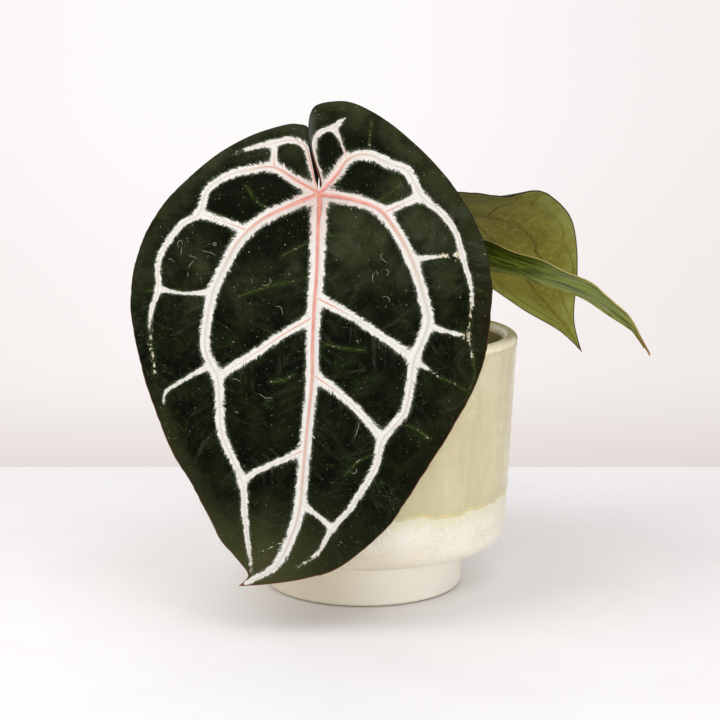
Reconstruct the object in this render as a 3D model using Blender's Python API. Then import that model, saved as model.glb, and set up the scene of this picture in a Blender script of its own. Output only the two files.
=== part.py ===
"""Potted anthurium: a glazed stoneware pot, its potting mix, and a small plant with three leaves.

Metres, +Z up. The origin is the centre of the pot's flat foot, +Y points away from the big leaf's face.
"""
import math
import random

import bmesh
import bpy
import numpy as np
from mathutils import Matrix, Vector
from mathutils.geometry import delaunay_2d_cdt

MM = 0.001
GAP = 0.3                   # clearance between touching pieces, mm
SEED = 7

# Pot, mm
RIM_RADIUS = 67.5
POT_HEIGHT = 112.5
WALL = 5.2
FOOT_RADIUS = 43.4
FOOT_HEIGHT = 19.5
SHOULDER_RADIUS = 63.3      # where the wall turns in to the step above the foot
FLOOR_TOP = 27.0            # upper face of the pot's floor
POT_SIDES = 48

# Potting mix, mm
MIX_DEPTH_BELOW_RIM = 17.5
CHIP_COUNT = 38
CHIP_SIZE = (15.0, 10.0, 6.5)  # a typical bark chip

# Crown, mm
CROWN_RADIUS = 9.5
CROWN_TOP = 108.0
CROWN_BOTTOM = 82.0
CROWN_SIDES = 18

# Leaf stalks, mm
STALK_RADIUS = 1.9
STALK_FOOT_RADIUS = 2.7
JOINT_RADIUS = 2.5          # the thicker joint just under the blade
JOINT_LENGTH = 9.0
ROOT_RADIUS = 1.7

# Blades, mm
BLADE_THICKNESS = 0.9
NET_THICKNESS = 0.7
NET_RIDGE = 0.5             # how far the rib stands out of its white band
UNDER_RIDGE = 1.1           # how far the same rib stands out underneath
PUFF = 1.5                  # how far the tissue swells between the veins
PUFF_REACH = 7.0
CELL_SPACING = 10.0
SPINE_STEP = 2.0
WELD = 0.25                 # points of the pattern nearer than this become one, mm
SLIVER = 0.02               # points of a cut piece nearer than this become one, mm

# Outlines in mm, from the junction of blade and stalk: x to the right, y towards the lobes
BIG_RIGHT = [(0.7, 2.6), (1.0, 8), (1.4, 15), (1.6, 22), (1.6, 29), (2.2, 34), (3.8, 37.6), (7.6, 39.8), (12.4, 39.8),
             (20.4, 36), (30.4, 29.2), (40.6, 20), (48.8, 10.8), (55.4, 2), (61.6, -7.2), (66.4, -18), (69, -30), (69.6, -42),
             (67.2, -62), (62.4, -77.6), (53.6, -93), (44.6, -107.6), (36.6, -120), (27.6, -132.8), (17, -143),
             (6.2, -150.4), (-5.8, -154.2), (-20, -156.4)]
BIG_LEFT = [(-1.2, 2.6), (-2.6, 9.2), (-3.8, 18), (-4.6, 24.4), (-7, 29), (-13.8, 29.6), (-27.8, 25), (-42, 17.2),
            (-54.2, 7), (-64.4, -4.4), (-72.4, -18), (-75.8, -32), (-76.4, -48), (-73, -64), (-67.4, -83.2),
            (-59.8, -101.6), (-51.4, -116), (-44.6, -128.8), (-38.8, -139.4), (-32, -147.4), (-28.6, -153)]
BIG_TIP = (-32.4, -157.4)
HEART_SIDE = [(0.8, 2), (1.6, 9), (5, 18), (13, 25.5), (24, 28), (36, 24), (46, 14), (52, 0), (53.5, -16), (50, -38),
              (43, -58), (33, -78), (21, -96), (11, -108), (5.5, -116), (2.4, -124)]
HEART_TIP = (0, -132)

# Veins in mm: the route, then the band's width at its start and its end
BIG_VEINS = {
    "midrib": ([(0, 0), (-0.6, -18), (-1, -32), (-2, -46), (-2.6, -60), (-2.8, -74), (-4.2, -88), (-6.2, -108),
                (-8, -126), (-11.8, -138), (-17, -148), (-25.4, -154)], 6.8, 2.0),
    "left_basal": ([(0, 0), (-11.8, -4.8), (-23, -10.4), (-31.8, -18.4), (-37.8, -29.2), (-42.2, -39), (-44.8, -52),
                    (-45, -63), (-40.4, -73), (-39.4, -84), (-38.4, -96), (-30.6, -114.6), (-29.6, -128),
                    (-28, -142), (-27, -151)], 4.6, 1.6),
    "left_upper": ([(0, 0), (-9.8, 6), (-18.2, 11.2), (-28, 10.4), (-37, 8), (-45, 2.4), (-48.4, -7.2), (-55, -11.2),
                    (-60.8, -18.4), (-64.6, -26), (-64.8, -37.6), (-67.6, -47), (-67.6, -60), (-65.6, -73)], 4.2, 1.2),
    "left_lobe": ([(0, 0), (-2.6, 8), (-4.4, 17), (-7.4, 21.4), (-12.6, 22.4), (-18.6, 20.8), (-25.8, 20),
                   (-35, 17.4)], 3.2, 1.4),
    "left_lobe_bar": ([(-18.2, 11.2), (-18.6, 20.8)], 2.6, 2.0),
    "left_bar_1": ([(-28.6, -14.6), (-38, -10.8), (-48.4, -7.2)], 3.2, 3.2),
    "left_bar_2": ([(-42.2, -38.9), (-53, -39), (-64.7, -37.6)], 2.2, 1.6),
    "left_bar_3": ([(-43.2, -68.6), (-52, -73.2), (-61.6, -79.4), (-61.5, -86.5)], 2.0, 1.2),
    "left_cross_1": ([(-2.4, -49.4), (-13.8, -56), (-25.8, -64), (-40.4, -73)], 3.8, 3.4),
    "left_cross_2": ([(-5.6, -102), (-13.8, -105.6), (-23, -109.6), (-30.8, -114.4)], 3.0, 2.6),
    "right_basal": ([(0, 0), (12.2, -2), (23.4, -6), (29.6, -13.4), (34.2, -21.2), (38.4, -31), (41, -40), (43, -51.6),
                     (37.6, -66), (36.2, -76), (33.4, -87.4), (24.8, -98), (22.2, -108.8), (12.6, -124.8),
                     (4.8, -134), (-0.6, -143.2), (-9, -149.6)], 4.8, 1.4),
    "right_upper": ([(0, 0), (6.6, 9.2), (11.8, 15.2), (20.2, 16), (28.2, 12.8), (35.4, 9.6), (40.6, -0.4), (48.2, -6.4),
                     (54.4, -14.6), (57, -23.6), (60.6, -36.6), (60.8, -46), (59.6, -57), (61.4, -66)], 4.2, 1.2),
    "right_lobe": ([(11.4, 15.2), (9.6, 19.4), (9.4, 24), (7.4, 26.8), (5.2, 25), (4.2, 19.6), (3.2, 12), (0, 0)],
                   2.2, 2.2),
    "right_bar_1": ([(25.6, -7.6), (34.2, -3.2), (40.8, -0.6)], 3.6, 3.4),
    "right_bar_2": ([(36.4, -26.4), (44.2, -24.8), (57, -23.6)], 2.2, 1.4),
    "right_bar_3": ([(42.8, -53), (50.2, -54.8), (59.6, -57)], 1.8, 1.4),
    "right_bar_4": ([(37.6, -66.6), (43.4, -70), (48.4, -73.2)], 2.0, 1.2),
    "right_cross_1": ([(-1.6, -41.4), (10.2, -47.6), (22.2, -55.2), (37.6, -65.6)], 3.8, 3.4),
    "right_cross_2": ([(-2.8, -72), (7.4, -79.2), (17, -88), (25, -97.6)], 3.6, 3.2),
    "right_cross_3": ([(-7.8, -122.8), (-1.4, -127.6), (5.2, -133.4)], 2.4, 2.0),
}
HEART_MIDRIB = ([(0, 0), (0, -40), (0, -90), (0, -126)], 5.0, 1.8)
HEART_VEINS = {             # one half; the other half mirrors it
    "basal": ([(0, 0), (12, -1), (23, -7), (31, -17), (35.5, -30), (36, -45), (32.5, -60), (23, -85), (13, -103),
               (5, -117)], 3.8, 1.6),
    "upper": ([(0, 0), (6, 9), (13, 16), (23, 18), (33, 13), (41, 1), (46, -14), (47.5, -30), (45, -45),
               (40.5, -58)], 3.4, 1.5),
    "lobe_bar": ([(13, 16), (12.5, 21)], 2.2, 1.8),
    "bar_1": ([(24.4, -8), (33, -3), (41, 1)], 2.8, 2.6),
    "bar_2": ([(35.5, -30), (41, -31), (47.5, -30)], 2.0, 1.8),
    "cross_1": ([(0, -38), (12, -44), (24, -53), (32.5, -60)], 3.4, 2.8),
    "cross_2": ([(0, -66), (11, -74), (23, -85)], 3.0, 2.6),
    "cross_3": ([(0, -94), (6, -99), (13, -103)], 2.4, 2.0),
}

# How each leaf is held. heading is measured about +Z from +X, pitch is below the horizontal, both at the junction.
# bow and twist turn the midrib per mm of its length; bow_gain adds to bow along it.
BIG_LEAF = {
    "junction": (-17.7, -58.7, 176.5), "heading": -90.0, "pitch": 70.5, "roll": 0.0, "bow": 0.0021, "bow_gain": 0.0,
    "twist": 0.0, "gutter": 0.05, "curl_right": 0.0036, "curl_left": 0.0038, "lobe_bow": 0.007,
    "stretch": (1.0, 1.0), "step": 8.0, "wave": 1.1, "wave_length": 33.0, "lap": 6.5,
}
BACK_LEAF = {
    "junction": (32.7, 29.9, 164.9), "heading": 46.8, "pitch": 10.5, "roll": -1.0, "bow": 0.0092, "bow_gain": -0.000017,
    "twist": 0.0066, "gutter": 0.18, "curl_right": 0.0015, "curl_left": 0.0002, "lobe_bow": 0.004,
    "stretch": (0.808, 0.955), "step": 11.0, "wave": 1.6, "wave_length": 30.0, "lap": 0.0,
}
SIDE_LEAF = {
    "junction": (46.9, -4.0, 146.0), "heading": -25.2, "pitch": 18.0, "roll": 0.6, "bow": -0.0074, "bow_gain": 0.000333,
    "twist": 0.001, "gutter": 0.094, "curl_right": 0.0023, "curl_left": 0.0015, "lobe_bow": 0.006,
    "stretch": (0.53, 0.698), "step": 11.0, "wave": 0.5, "wave_length": 26.0, "lap": 0.0,
}
LAP_REACH = 7.0             # how far from the notch the right lobe is drawn over the left one, mm
LAP_RISE = 26.0             # height over which that draw grows, mm
LAP_LIFT = 4.6              # how far it stands off the left lobe, mm
WAVE_REACH = 14.0           # how far the margin's waves run into the blade, mm

# Stalk routes in mm, up to just under each junction
BIG_STALK = [(-4.0, -3.0, 92), (-4.6, -5.0, 108), (-7.4, -13, 130), (-11.4, -26, 153), (-15.2, -41, 168)]
BACK_STALK = [(0.6, 4.8, 92), (1.4, 6.0, 108), (6.4, 11.6, 126), (17.4, 20.0, 143), (28.2, 26.6, 154)]
SIDE_STALK = [(4.5, -1.8, 92), (6.4, -2.0, 108), (16.6, -2.4, 121), (31.0, -2.8, 131), (42.0, -2.6, 137.6)]

# Thick roots that leave the crown and dive into the mix, mm
ROOT_ROUTES = {
    "root_left": [(-5.5, 1.5, 101), (-11.5, 3.0, 103), (-18, 6.0, 101), (-22.5, 8.5, 96), (-24.5, 9.5, 89)],
    "root_back": [(-0.5, -6.5, 99), (1.5, -12.5, 101.5), (6.5, -18, 100), (10.5, -22, 95.5), (12, -23.5, 89)],
    "root_right": [(5.0, 4.6, 100), (9.5, 9.5, 102), (12, 16.5, 100.5), (13, 22, 96), (13, 24.5, 89)],
}


def clear_scene():
    for obj in list(bpy.data.objects):
        bpy.data.objects.remove(obj, do_unlink=True)


def make_material(name, colour, roughness, metallic=0.0):
    material = bpy.data.materials.new(name)
    material.use_nodes = True
    shader = material.node_tree.nodes["Principled BSDF"]
    shader.inputs["Base Color"].default_value = (*colour, 1.0)
    shader.inputs["Roughness"].default_value = roughness
    shader.inputs["Metallic"].default_value = metallic
    return material


def add_object(name, vertices, faces, material):
    """Make one object from points in mm."""
    mesh = bpy.data.meshes.new(name)
    mesh.from_pydata([Vector(v) * MM for v in vertices], [], faces)
    mesh.validate()
    bm = bmesh.new()
    bm.from_mesh(mesh)
    bmesh.ops.recalc_face_normals(bm, faces=bm.faces)
    bm.to_mesh(mesh)
    bm.free()
    obj = bpy.data.objects.new(name, mesh)
    bpy.context.scene.collection.objects.link(obj)
    if material:
        mesh.materials.append(material)
    mesh.shade_smooth()
    mesh.set_sharp_from_angle(angle=math.radians(40))
    return obj


def smooth_path(points, step):
    """Points evenly spaced, about a step apart, on a Catmull-Rom curve through the given ones."""
    pts = [np.array(p, float) for p in points]
    ends = [2 * pts[0] - pts[1]] + pts + [2 * pts[-1] - pts[-2]]
    dense = []
    for a, b, c, d in zip(ends, ends[1:], ends[2:], ends[3:]):
        for t in np.arange(0, 1, 1 / 16):
            dense.append(0.5 * (2 * b + (c - a) * t + (2 * a - 5 * b + 4 * c - d) * t ** 2
                                + (3 * b - a - 3 * c + d) * t ** 3))
    dense = np.array(dense + [pts[-1]])
    lengths = np.concatenate([[0], np.cumsum(np.linalg.norm(np.diff(dense, axis=0), axis=1))])
    stations = np.linspace(0, lengths[-1], max(2, round(lengths[-1] / step) + 1))
    return np.column_stack([np.interp(stations, lengths, dense[:, k]) for k in range(dense.shape[1])])


def smooth_step(t):
    t = min(max(t, 0.0), 1.0)
    return t * t * (3 - 2 * t)


# Turned pieces

def turned(name, profile, material, sides=POT_SIDES):
    """Turn a closed profile of (radius, height) about the Z axis; points on the axis are shared."""
    vertices = []
    rings = []
    for radius, height in profile:
        if radius < 1e-6:
            rings.append([len(vertices)] * sides)
            vertices.append((0, 0, height))
            continue
        rings.append(list(range(len(vertices), len(vertices) + sides)))
        for k in range(sides):
            angle = 2 * math.pi * k / sides
            vertices.append((radius * math.cos(angle), radius * math.sin(angle), height))
    faces = []
    for low, high in zip(rings, rings[1:]):
        for k in range(sides):
            j = (k + 1) % sides
            corners = [low[k], low[j], high[j], high[k]]
            face = list(dict.fromkeys(corners))
            if len(face) > 2:
                faces.append(face)
    return add_object(name, vertices, faces, material)


def arc(centre, radius, start, end, count):
    """Points on an arc of a profile; angles in degrees from +r."""
    angles = [math.radians(start + (end - start) * k / count) for k in range(count + 1)]
    return [(centre[0] + radius * math.cos(a), centre[1] + radius * math.sin(a)) for a in angles]


def inner_radius(height):
    """The pot's inside wall narrows evenly from the lip to the floor."""
    t = (height - FLOOR_TOP) / (POT_HEIGHT - FLOOR_TOP)
    return (SHOULDER_RADIUS - WALL - 1.5) * (1 - t) + (RIM_RADIUS - WALL) * t


def make_pot():
    lip = WALL / 2
    edge = 2.0
    profile = [(0, 0), (FOOT_RADIUS - edge, 0)]
    profile += [(FOOT_RADIUS - 0.7, 1.0), (FOOT_RADIUS - 0.2, 4.0), (FOOT_RADIUS, FOOT_HEIGHT - 2)]
    profile += [(FOOT_RADIUS + 0.6, FOOT_HEIGHT), (SHOULDER_RADIUS - 8, FOOT_HEIGHT + 0.8)]
    profile += arc((SHOULDER_RADIUS - 7.5, FOOT_HEIGHT + 8.3), 7.5, -70, 0, 4)
    profile += [(63.9, 45), (64.9, 65), (66.2, 90), (RIM_RADIUS - 0.5, 104.2), (RIM_RADIUS - 0.5, 106.0)]
    profile += [(RIM_RADIUS - 0.9, 106.8), (RIM_RADIUS - 0.3, 107.7)]
    profile += arc((RIM_RADIUS - lip, POT_HEIGHT - lip), lip, 0, 180, 6)
    profile += [(inner_radius(90), 90), (inner_radius(60), 60), (inner_radius(FLOOR_TOP + 6), FLOOR_TOP + 6)]
    profile += [(inner_radius(FLOOR_TOP) - 1.6, FLOOR_TOP + 1.6), (inner_radius(FLOOR_TOP) - 6, FLOOR_TOP), (0, FLOOR_TOP)]
    return turned("pot", profile, make_material("glazed_stoneware", (0.62, 0.60, 0.40), 0.22))


# Tubes: stalks and roots

def tube(name, path, radii, material, sides=8):
    """A closed round tube along a path, with flat ends."""
    path = [Vector(p) for p in path]
    tangents = []
    for k in range(len(path)):
        before = path[max(k - 1, 0)]
        after = path[min(k + 1, len(path) - 1)]
        tangents.append((after - before).normalized())
    across = tangents[0].orthogonal().normalized()
    vertices = []
    for point, tangent, radius in zip(path, tangents, radii):
        across = (across - tangent * across.dot(tangent)).normalized()
        other = tangent.cross(across)
        for k in range(sides):
            angle = 2 * math.pi * k / sides
            vertices.append(point + (across * math.cos(angle) + other * math.sin(angle)) * radius)
    faces = []
    for ring in range(len(path) - 1):
        a = ring * sides
        for k in range(sides):
            j = (k + 1) % sides
            faces.append([a + k, a + j, a + sides + j, a + sides + k])
    faces.append(list(range(sides))[::-1])
    faces.append([len(vertices) - sides + k for k in range(sides)])
    return add_object(name, vertices, faces, material)


def widened(path, radii):
    """The same tube, wider and longer by the gap, for cutting its seat."""
    path = [np.array(p, float) for p in path]
    first = path[0] - path[1]
    last = path[-1] - path[-2]
    path[0] = path[0] + first / np.linalg.norm(first) * GAP
    path[-1] = path[-1] + last / np.linalg.norm(last) * GAP
    return path, [r + GAP * 1.1 for r in radii]


def stalk_shape(route, leaf):
    """Path and radii of a stalk: thick at its foot, slim, and thick again at its joint under the blade."""
    frame = leaf_spine(leaf)[0]
    normal = frame[2]
    seat = frame[0] - normal * (BLADE_THICKNESS / 2 + UNDER_RIDGE + GAP)
    approach = seat - normal * JOINT_LENGTH * 0.55
    path = smooth_path(list(route) + [tuple(approach), tuple(seat)], 5.0)
    lengths = np.concatenate([[0], np.cumsum(np.linalg.norm(np.diff(path, axis=0), axis=1))])
    total = lengths[-1]
    radii = []
    for s in lengths:
        foot = smooth_step(1 - s / 26.0)
        joint = smooth_step((s - (total - JOINT_LENGTH - 3)) / 4.0)
        radii.append(STALK_RADIUS + (STALK_FOOT_RADIUS - STALK_RADIUS) * foot + (JOINT_RADIUS - STALK_RADIUS) * joint)
    return path, radii


# Leaves

def leaf_spine(leaf):
    """Frames along the midrib: place, direction, upward normal, every SPINE_STEP mm from the junction."""
    heading, pitch, roll = (math.radians(leaf[k]) for k in ("heading", "pitch", "roll"))
    along = np.array([math.cos(heading) * math.cos(pitch), math.sin(heading) * math.cos(pitch), -math.sin(pitch)])
    normal = np.array([0, 0, 1.0])
    normal -= along * normal.dot(along)
    normal /= np.linalg.norm(normal)
    normal = normal * math.cos(roll) + np.cross(normal, along) * math.sin(roll)
    place = np.array(leaf["junction"], float)
    frames = [(place, along, normal)]
    for k in range(int(180 / SPINE_STEP)):
        turn = (leaf["bow"] + leaf["bow_gain"] * (k + 0.5) * SPINE_STEP) * SPINE_STEP
        half = along * math.cos(turn / 2) - normal * math.sin(turn / 2)
        place = place + half * SPINE_STEP
        along, normal = (along * math.cos(turn) - normal * math.sin(turn),
                         normal * math.cos(turn) + along * math.sin(turn))
        twist = leaf["twist"] * SPINE_STEP
        normal = normal * math.cos(twist) + np.cross(normal, along) * math.sin(twist)
        frames.append((place, along, normal))
    return frames


class LeafSurface:
    """Carries a point of the flat leaf pattern to its place on the bent, waved blade."""

    def __init__(self, leaf, outline, veins):
        self.leaf = leaf
        self.frames = leaf_spine(leaf)
        self.outline = outline
        self.starts = np.concatenate([path[:-1] for path, widths in veins])
        self.ends = np.concatenate([path[1:] for path, widths in veins])
        self.half_widths = np.concatenate([(widths[:-1] + widths[1:]) / 4 for path, widths in veins])

    def vein_distance(self, x, y):
        """Distance to the nearest vein's centre, and the same over the band's half width there."""
        point = np.array([x, y])
        run = self.ends - self.starts
        t = np.clip(((point - self.starts) * run).sum(1) / (run ** 2).sum(1), 0, 1)
        gap = np.linalg.norm(point - self.starts - run * t[:, None], axis=1)
        return gap.min(), (gap / self.half_widths).min()

    def margin_distance(self, x, y):
        ends = np.roll(self.outline, -1, axis=0)
        run = ends - self.outline
        point = np.array([x, y])
        t = np.clip(((point - self.outline) * run).sum(1) / np.maximum((run ** 2).sum(1), 1e-9), 0, 1)
        return np.linalg.norm(point - self.outline - run * t[:, None], axis=1).min()

    def relief(self, x, y):
        """Swelling between the veins and waves at the margin."""
        near, ratio = self.vein_distance(x, y)
        margin = self.margin_distance(x, y)
        puff = PUFF * (1 - math.exp(-(near / PUFF_REACH) ** 2)) * smooth_step(margin / 9.0)
        edge = smooth_step(1 - margin / WAVE_REACH)
        phase = 0.6 if x > 0 else 2.3
        wave = self.leaf["wave"] * edge * math.sin(2 * math.pi * y / self.leaf["wave_length"] + phase)
        return puff + wave

    def lap(self, x, y):
        """The right lobe is drawn over the left one along the notch; gives its shift and its lift."""
        if x <= 0 or y <= 0 or not self.leaf["lap"]:
            return 0.0, 0.0
        near = math.exp(-(x / LAP_REACH) ** 2) * smooth_step(y / LAP_RISE)
        return -self.leaf["lap"] * near, LAP_LIFT * near

    def point(self, x, y):
        leaf = self.leaf
        lift = self.relief(x, y)
        shift, lap_lift = self.lap(x, y)
        x = x + shift
        along_midrib = max(-y, 0.0) / SPINE_STEP
        k = min(int(along_midrib), len(self.frames) - 2)
        t = along_midrib - k
        place, along, normal = (a * (1 - t) + b * t for a, b in zip(self.frames[k], self.frames[k + 1]))
        if y > 0:
            place = place - along * y - normal * leaf["lobe_bow"] * y * y / 2
        across = np.cross(normal, along)
        curl = leaf["curl_right"] if x > 0 else leaf["curl_left"]
        start = -leaf["gutter"]
        reach = abs(x)
        out = (math.sin(start + curl * reach) - math.sin(start)) / curl
        rise = (math.cos(start + curl * reach) - math.cos(start)) / curl
        return place + across * math.copysign(out, x) + normal * (rise + lift + lap_lift)

    def normal(self, x, y, reach=0.6):
        right = self.point(x + reach, y) - self.point(x - reach, y)
        up = self.point(x, y + reach) - self.point(x, y - reach)
        n = np.cross(right, up)
        return n / np.linalg.norm(n)


def inside(polygon, x, y):
    """Whether a point lies in a closed polygon."""
    a = polygon
    b = np.roll(polygon, -1, axis=0)
    crosses = (a[:, 1] > y) != (b[:, 1] > y)
    run = np.where(crosses, b[:, 1] - a[:, 1], 1.0)
    at = a[:, 0] + (y - a[:, 1]) * (b[:, 0] - a[:, 0]) / run
    return bool(np.count_nonzero(crosses & (x < at)) % 2)


def leaf_pattern(right, left, tip, stretch, step):
    """The closed outline: up the notch, round the right side to the tip, and back up the left side."""
    right = smooth_path([(x * stretch[0], y * stretch[1]) for x, y in right + [tip]], step)
    left = smooth_path([(x * stretch[0], y * stretch[1]) for x, y in left + [tip]], step)
    notch = np.array([[(right[0][0] + left[0][0]) / 2, right[0][1] * 0.5]])
    return np.concatenate([notch, right, left[::-1][1:]])


def vein_pattern(routes, stretch, step):
    """Each vein as evenly spaced points with its width at each."""
    veins = []
    for route, start, end in routes:
        path = smooth_path([(x * stretch[0], y * stretch[1]) for x, y in route], step)
        widths = np.linspace(start, end, len(path)) * min(1.0, stretch[0] + 0.1)
        veins.append((path, np.maximum(widths, 1.2)))
    return veins


def cut_pattern(outline, veins, surface):
    """Split the flat pattern into triangles that follow the outline and the edges and centres of the veins."""
    points = [tuple(p) for p in outline]
    edges = [(k, (k + 1) % len(points)) for k in range(len(points))]
    bands = []
    for path, widths in veins:
        direction = np.gradient(path, axis=0)
        direction /= np.linalg.norm(direction, axis=1)[:, None]
        side = np.column_stack([-direction[:, 1], direction[:, 0]]) * widths[:, None] / 2
        first = len(points)
        for centre, offset in zip(path, side):
            points += [tuple(centre + offset), tuple(centre), tuple(centre - offset)]
        last = first + 3 * (len(path) - 1)
        edges += [(first, first + 1), (first + 1, first + 2), (last, last + 1), (last + 1, last + 2)]
        for k in range(first, last):
            edges.append((k, k + 3))
        bands.append(np.concatenate([path + side, (path - side)[::-1]]))
    low = outline.min(axis=0)
    high = outline.max(axis=0)
    row = 0
    y = low[1] + CELL_SPACING / 2
    while y < high[1]:
        x = low[0] + (CELL_SPACING / 2 if row % 2 else 0)
        while x < high[0]:
            clear_of_margin = inside(outline, x, y) and surface.margin_distance(x, y) > CELL_SPACING * 0.4
            if clear_of_margin and surface.vein_distance(x, y)[0] > CELL_SPACING * 0.55:
                points.append((x, y))
            x += CELL_SPACING
        y += CELL_SPACING * 0.866
        row += 1
    result = delaunay_2d_cdt([Vector(p) for p in points], edges, [], 0, WELD)
    flat = [(v[0], v[1]) for v in result[0]]
    triangles = []
    for face in result[2]:
        x, y = (sum(flat[k][axis] for k in face) / 3 for axis in (0, 1))
        if inside(outline, x, y):
            triangles.append((tuple(face), any(inside(band, x, y) for band in bands)))
    return flat, triangles


def shell(name, flat, triangles, low, high, surface, material):
    """A closed sheet over some of the pattern's triangles, between two heights above the blade's middle."""
    used = sorted({k for face in triangles for k in face})
    index = {k: n for n, k in enumerate(used)}
    vertices = []
    for level in (high, low):
        for k in used:
            x, y = flat[k]
            vertices.append(surface.point(x, y) + surface.normal(x, y) * level(x, y))
    count = len(used)
    faces = []
    edges = {}
    for a, b, c in triangles:
        a, b, c = index[a], index[b], index[c]
        faces.append([a, b, c])
        faces.append([c + count, b + count, a + count])
        for edge in ((a, b), (b, c), (c, a)):
            edges[edge] = edges.get(edge, 0) + 1
    for a, b in edges:
        if (b, a) not in edges:
            faces.append([b, a, a + count])
            faces.append([b, a + count, b + count])
    return add_object(name, vertices, faces, material)


def make_leaf(name, leaf, sides, routes, blade_material, net_material):
    """A blade with its ribs underneath and, where a net material is given, its raised net on top."""
    right, left, tip = sides
    outline = leaf_pattern(right, left, tip, leaf["stretch"], leaf["step"])
    veins = vein_pattern(routes, leaf["stretch"], leaf["step"])
    surface = LeafSurface(leaf, outline, veins)
    flat, triangles = cut_pattern(outline, veins, surface)
    half = BLADE_THICKNESS / 2

    def ridge(x, y):
        return max(0.0, 1 - surface.vein_distance(x, y)[1])

    shell(f"{name}_blade", flat, [face for face, banded in triangles], lambda x, y: -half - UNDER_RIDGE * ridge(x, y),
          lambda x, y: half, surface, blade_material)
    if net_material:
        base = half + GAP * 1.15
        shell(f"{name}_net", flat, [face for face, banded in triangles if banded], lambda x, y: base,
              lambda x, y: base + NET_THICKNESS + NET_RIDGE * ridge(x, y), surface, net_material)


def heart_routes():
    """The smaller leaves' veins: the midrib and one half's veins on both sides."""
    routes = [HEART_MIDRIB]
    for route, start, end in HEART_VEINS.values():
        for side in (1, -1):
            routes.append(([(x * side, y) for x, y in route], start, end))
    return routes


# Potting mix and crown

def boolean(obj, operation, others, solver="EXACT"):
    """Join to, or cut from, an object a group of others, which are then removed."""
    group = bpy.data.collections.new("group")
    bpy.context.scene.collection.children.link(group)
    for other in others:
        group.objects.link(other)
    modifier = obj.modifiers.new("join", "BOOLEAN")
    modifier.operation = operation
    modifier.operand_type = "COLLECTION"
    modifier.collection = group
    modifier.solver = solver
    bpy.context.view_layer.update()
    shape = bpy.data.meshes.new_from_object(obj.evaluated_get(bpy.context.evaluated_depsgraph_get()))
    obj.modifiers.clear()
    obj.data = shape
    for other in others:
        bpy.data.objects.remove(other, do_unlink=True)
    bpy.data.collections.remove(group)


def keep_largest(obj):
    """Close up the hair-thin faces that a cut may leave, and drop its loose scraps."""
    bm = bmesh.new()
    bm.from_mesh(obj.data)
    bmesh.ops.remove_doubles(bm, verts=bm.verts, dist=SLIVER * MM)
    bmesh.ops.dissolve_degenerate(bm, edges=bm.edges, dist=SLIVER * MM)
    islands = []
    seen = set()
    for start in bm.verts:
        if start in seen:
            continue
        island = {start}
        stack = [start]
        while stack:
            for edge in stack.pop().link_edges:
                for vert in edge.verts:
                    if vert not in island:
                        island.add(vert)
                        stack.append(vert)
        seen |= island
        islands.append(island)
    largest = max(islands, key=len)
    bmesh.ops.delete(bm, geom=[v for v in bm.verts if v not in largest], context="VERTS")
    bm.to_mesh(obj.data)
    bm.free()


def bark_chip(rng, radius, angle, height):
    """A blunt, flattened block of bark, tipped at random."""
    bm = bmesh.new()
    bmesh.ops.create_icosphere(bm, subdivisions=1, radius=1.0)
    size = [s * rng.uniform(0.75, 1.25) for s in CHIP_SIZE]
    turn = Matrix.Rotation(rng.uniform(0, math.pi), 3, "Z") @ Matrix.Rotation(rng.uniform(-0.5, 0.5), 3, "X")
    for vert in bm.verts:
        scaled = Vector([vert.co[k] * size[k] / 2 * rng.uniform(0.85, 1.15) for k in range(3)])
        vert.co = (turn @ scaled + Vector((radius * math.cos(angle), radius * math.sin(angle), height))) * MM
    mesh = bpy.data.meshes.new("chip")
    bm.to_mesh(mesh)
    bm.free()
    obj = bpy.data.objects.new("chip", mesh)
    bpy.context.scene.collection.objects.link(obj)
    return obj


def make_mix(cutters):
    """The packed mix, with bark chips standing out of its surface and a plain hole for what stands in it."""
    rng = random.Random(SEED)
    level = POT_HEIGHT - MIX_DEPTH_BELOW_RIM
    bottom = FLOOR_TOP + 7
    wall_gap = GAP * 1.3
    profile = [(0, FLOOR_TOP + GAP), (inner_radius(FLOOR_TOP) - 8, FLOOR_TOP + GAP)]
    profile += [(inner_radius(bottom) - wall_gap - 0.5, bottom), (inner_radius(60) - wall_gap, 60)]
    profile += [(inner_radius(level) - wall_gap, level - 0.8), (inner_radius(level) - 5, level), (0, level + 1.2)]
    mix = turned("potting_mix", profile, make_material("bark_and_perlite_mix", (0.16, 0.10, 0.06), 0.95))
    chips = []
    edge = inner_radius(level) - CHIP_SIZE[0] * 0.74
    for k in range(CHIP_COUNT):
        radius = edge * math.sqrt((k + 0.5) / CHIP_COUNT)
        angle = k * math.pi * (3 - math.sqrt(5)) + rng.uniform(-0.15, 0.15)
        if radius > CROWN_RADIUS + 4:
            chips.append(bark_chip(rng, radius, angle, level + rng.uniform(0.4, 2.4)))
    boolean(mix, "UNION", chips, "MANIFOLD")
    boolean(mix, "DIFFERENCE", cutters, "MANIFOLD")
    keep_largest(mix)
    return mix


def crown_profile(extra=0.0):
    """The short stem: ringed by old leaf scars and rounded on top."""
    r = CROWN_RADIUS + extra
    return [(0, CROWN_BOTTOM - extra), (r - 1.5, CROWN_BOTTOM - extra), (r, CROWN_BOTTOM + 2), (r - 0.4, 95),
            (r, 98), (r - 0.7, 100), (r - 0.1, 102), (r - 1.4, 104.5), (r - 3, 106.8), (r - 6, CROWN_TOP),
            (0, CROWN_TOP + 0.6 + extra)]


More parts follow.
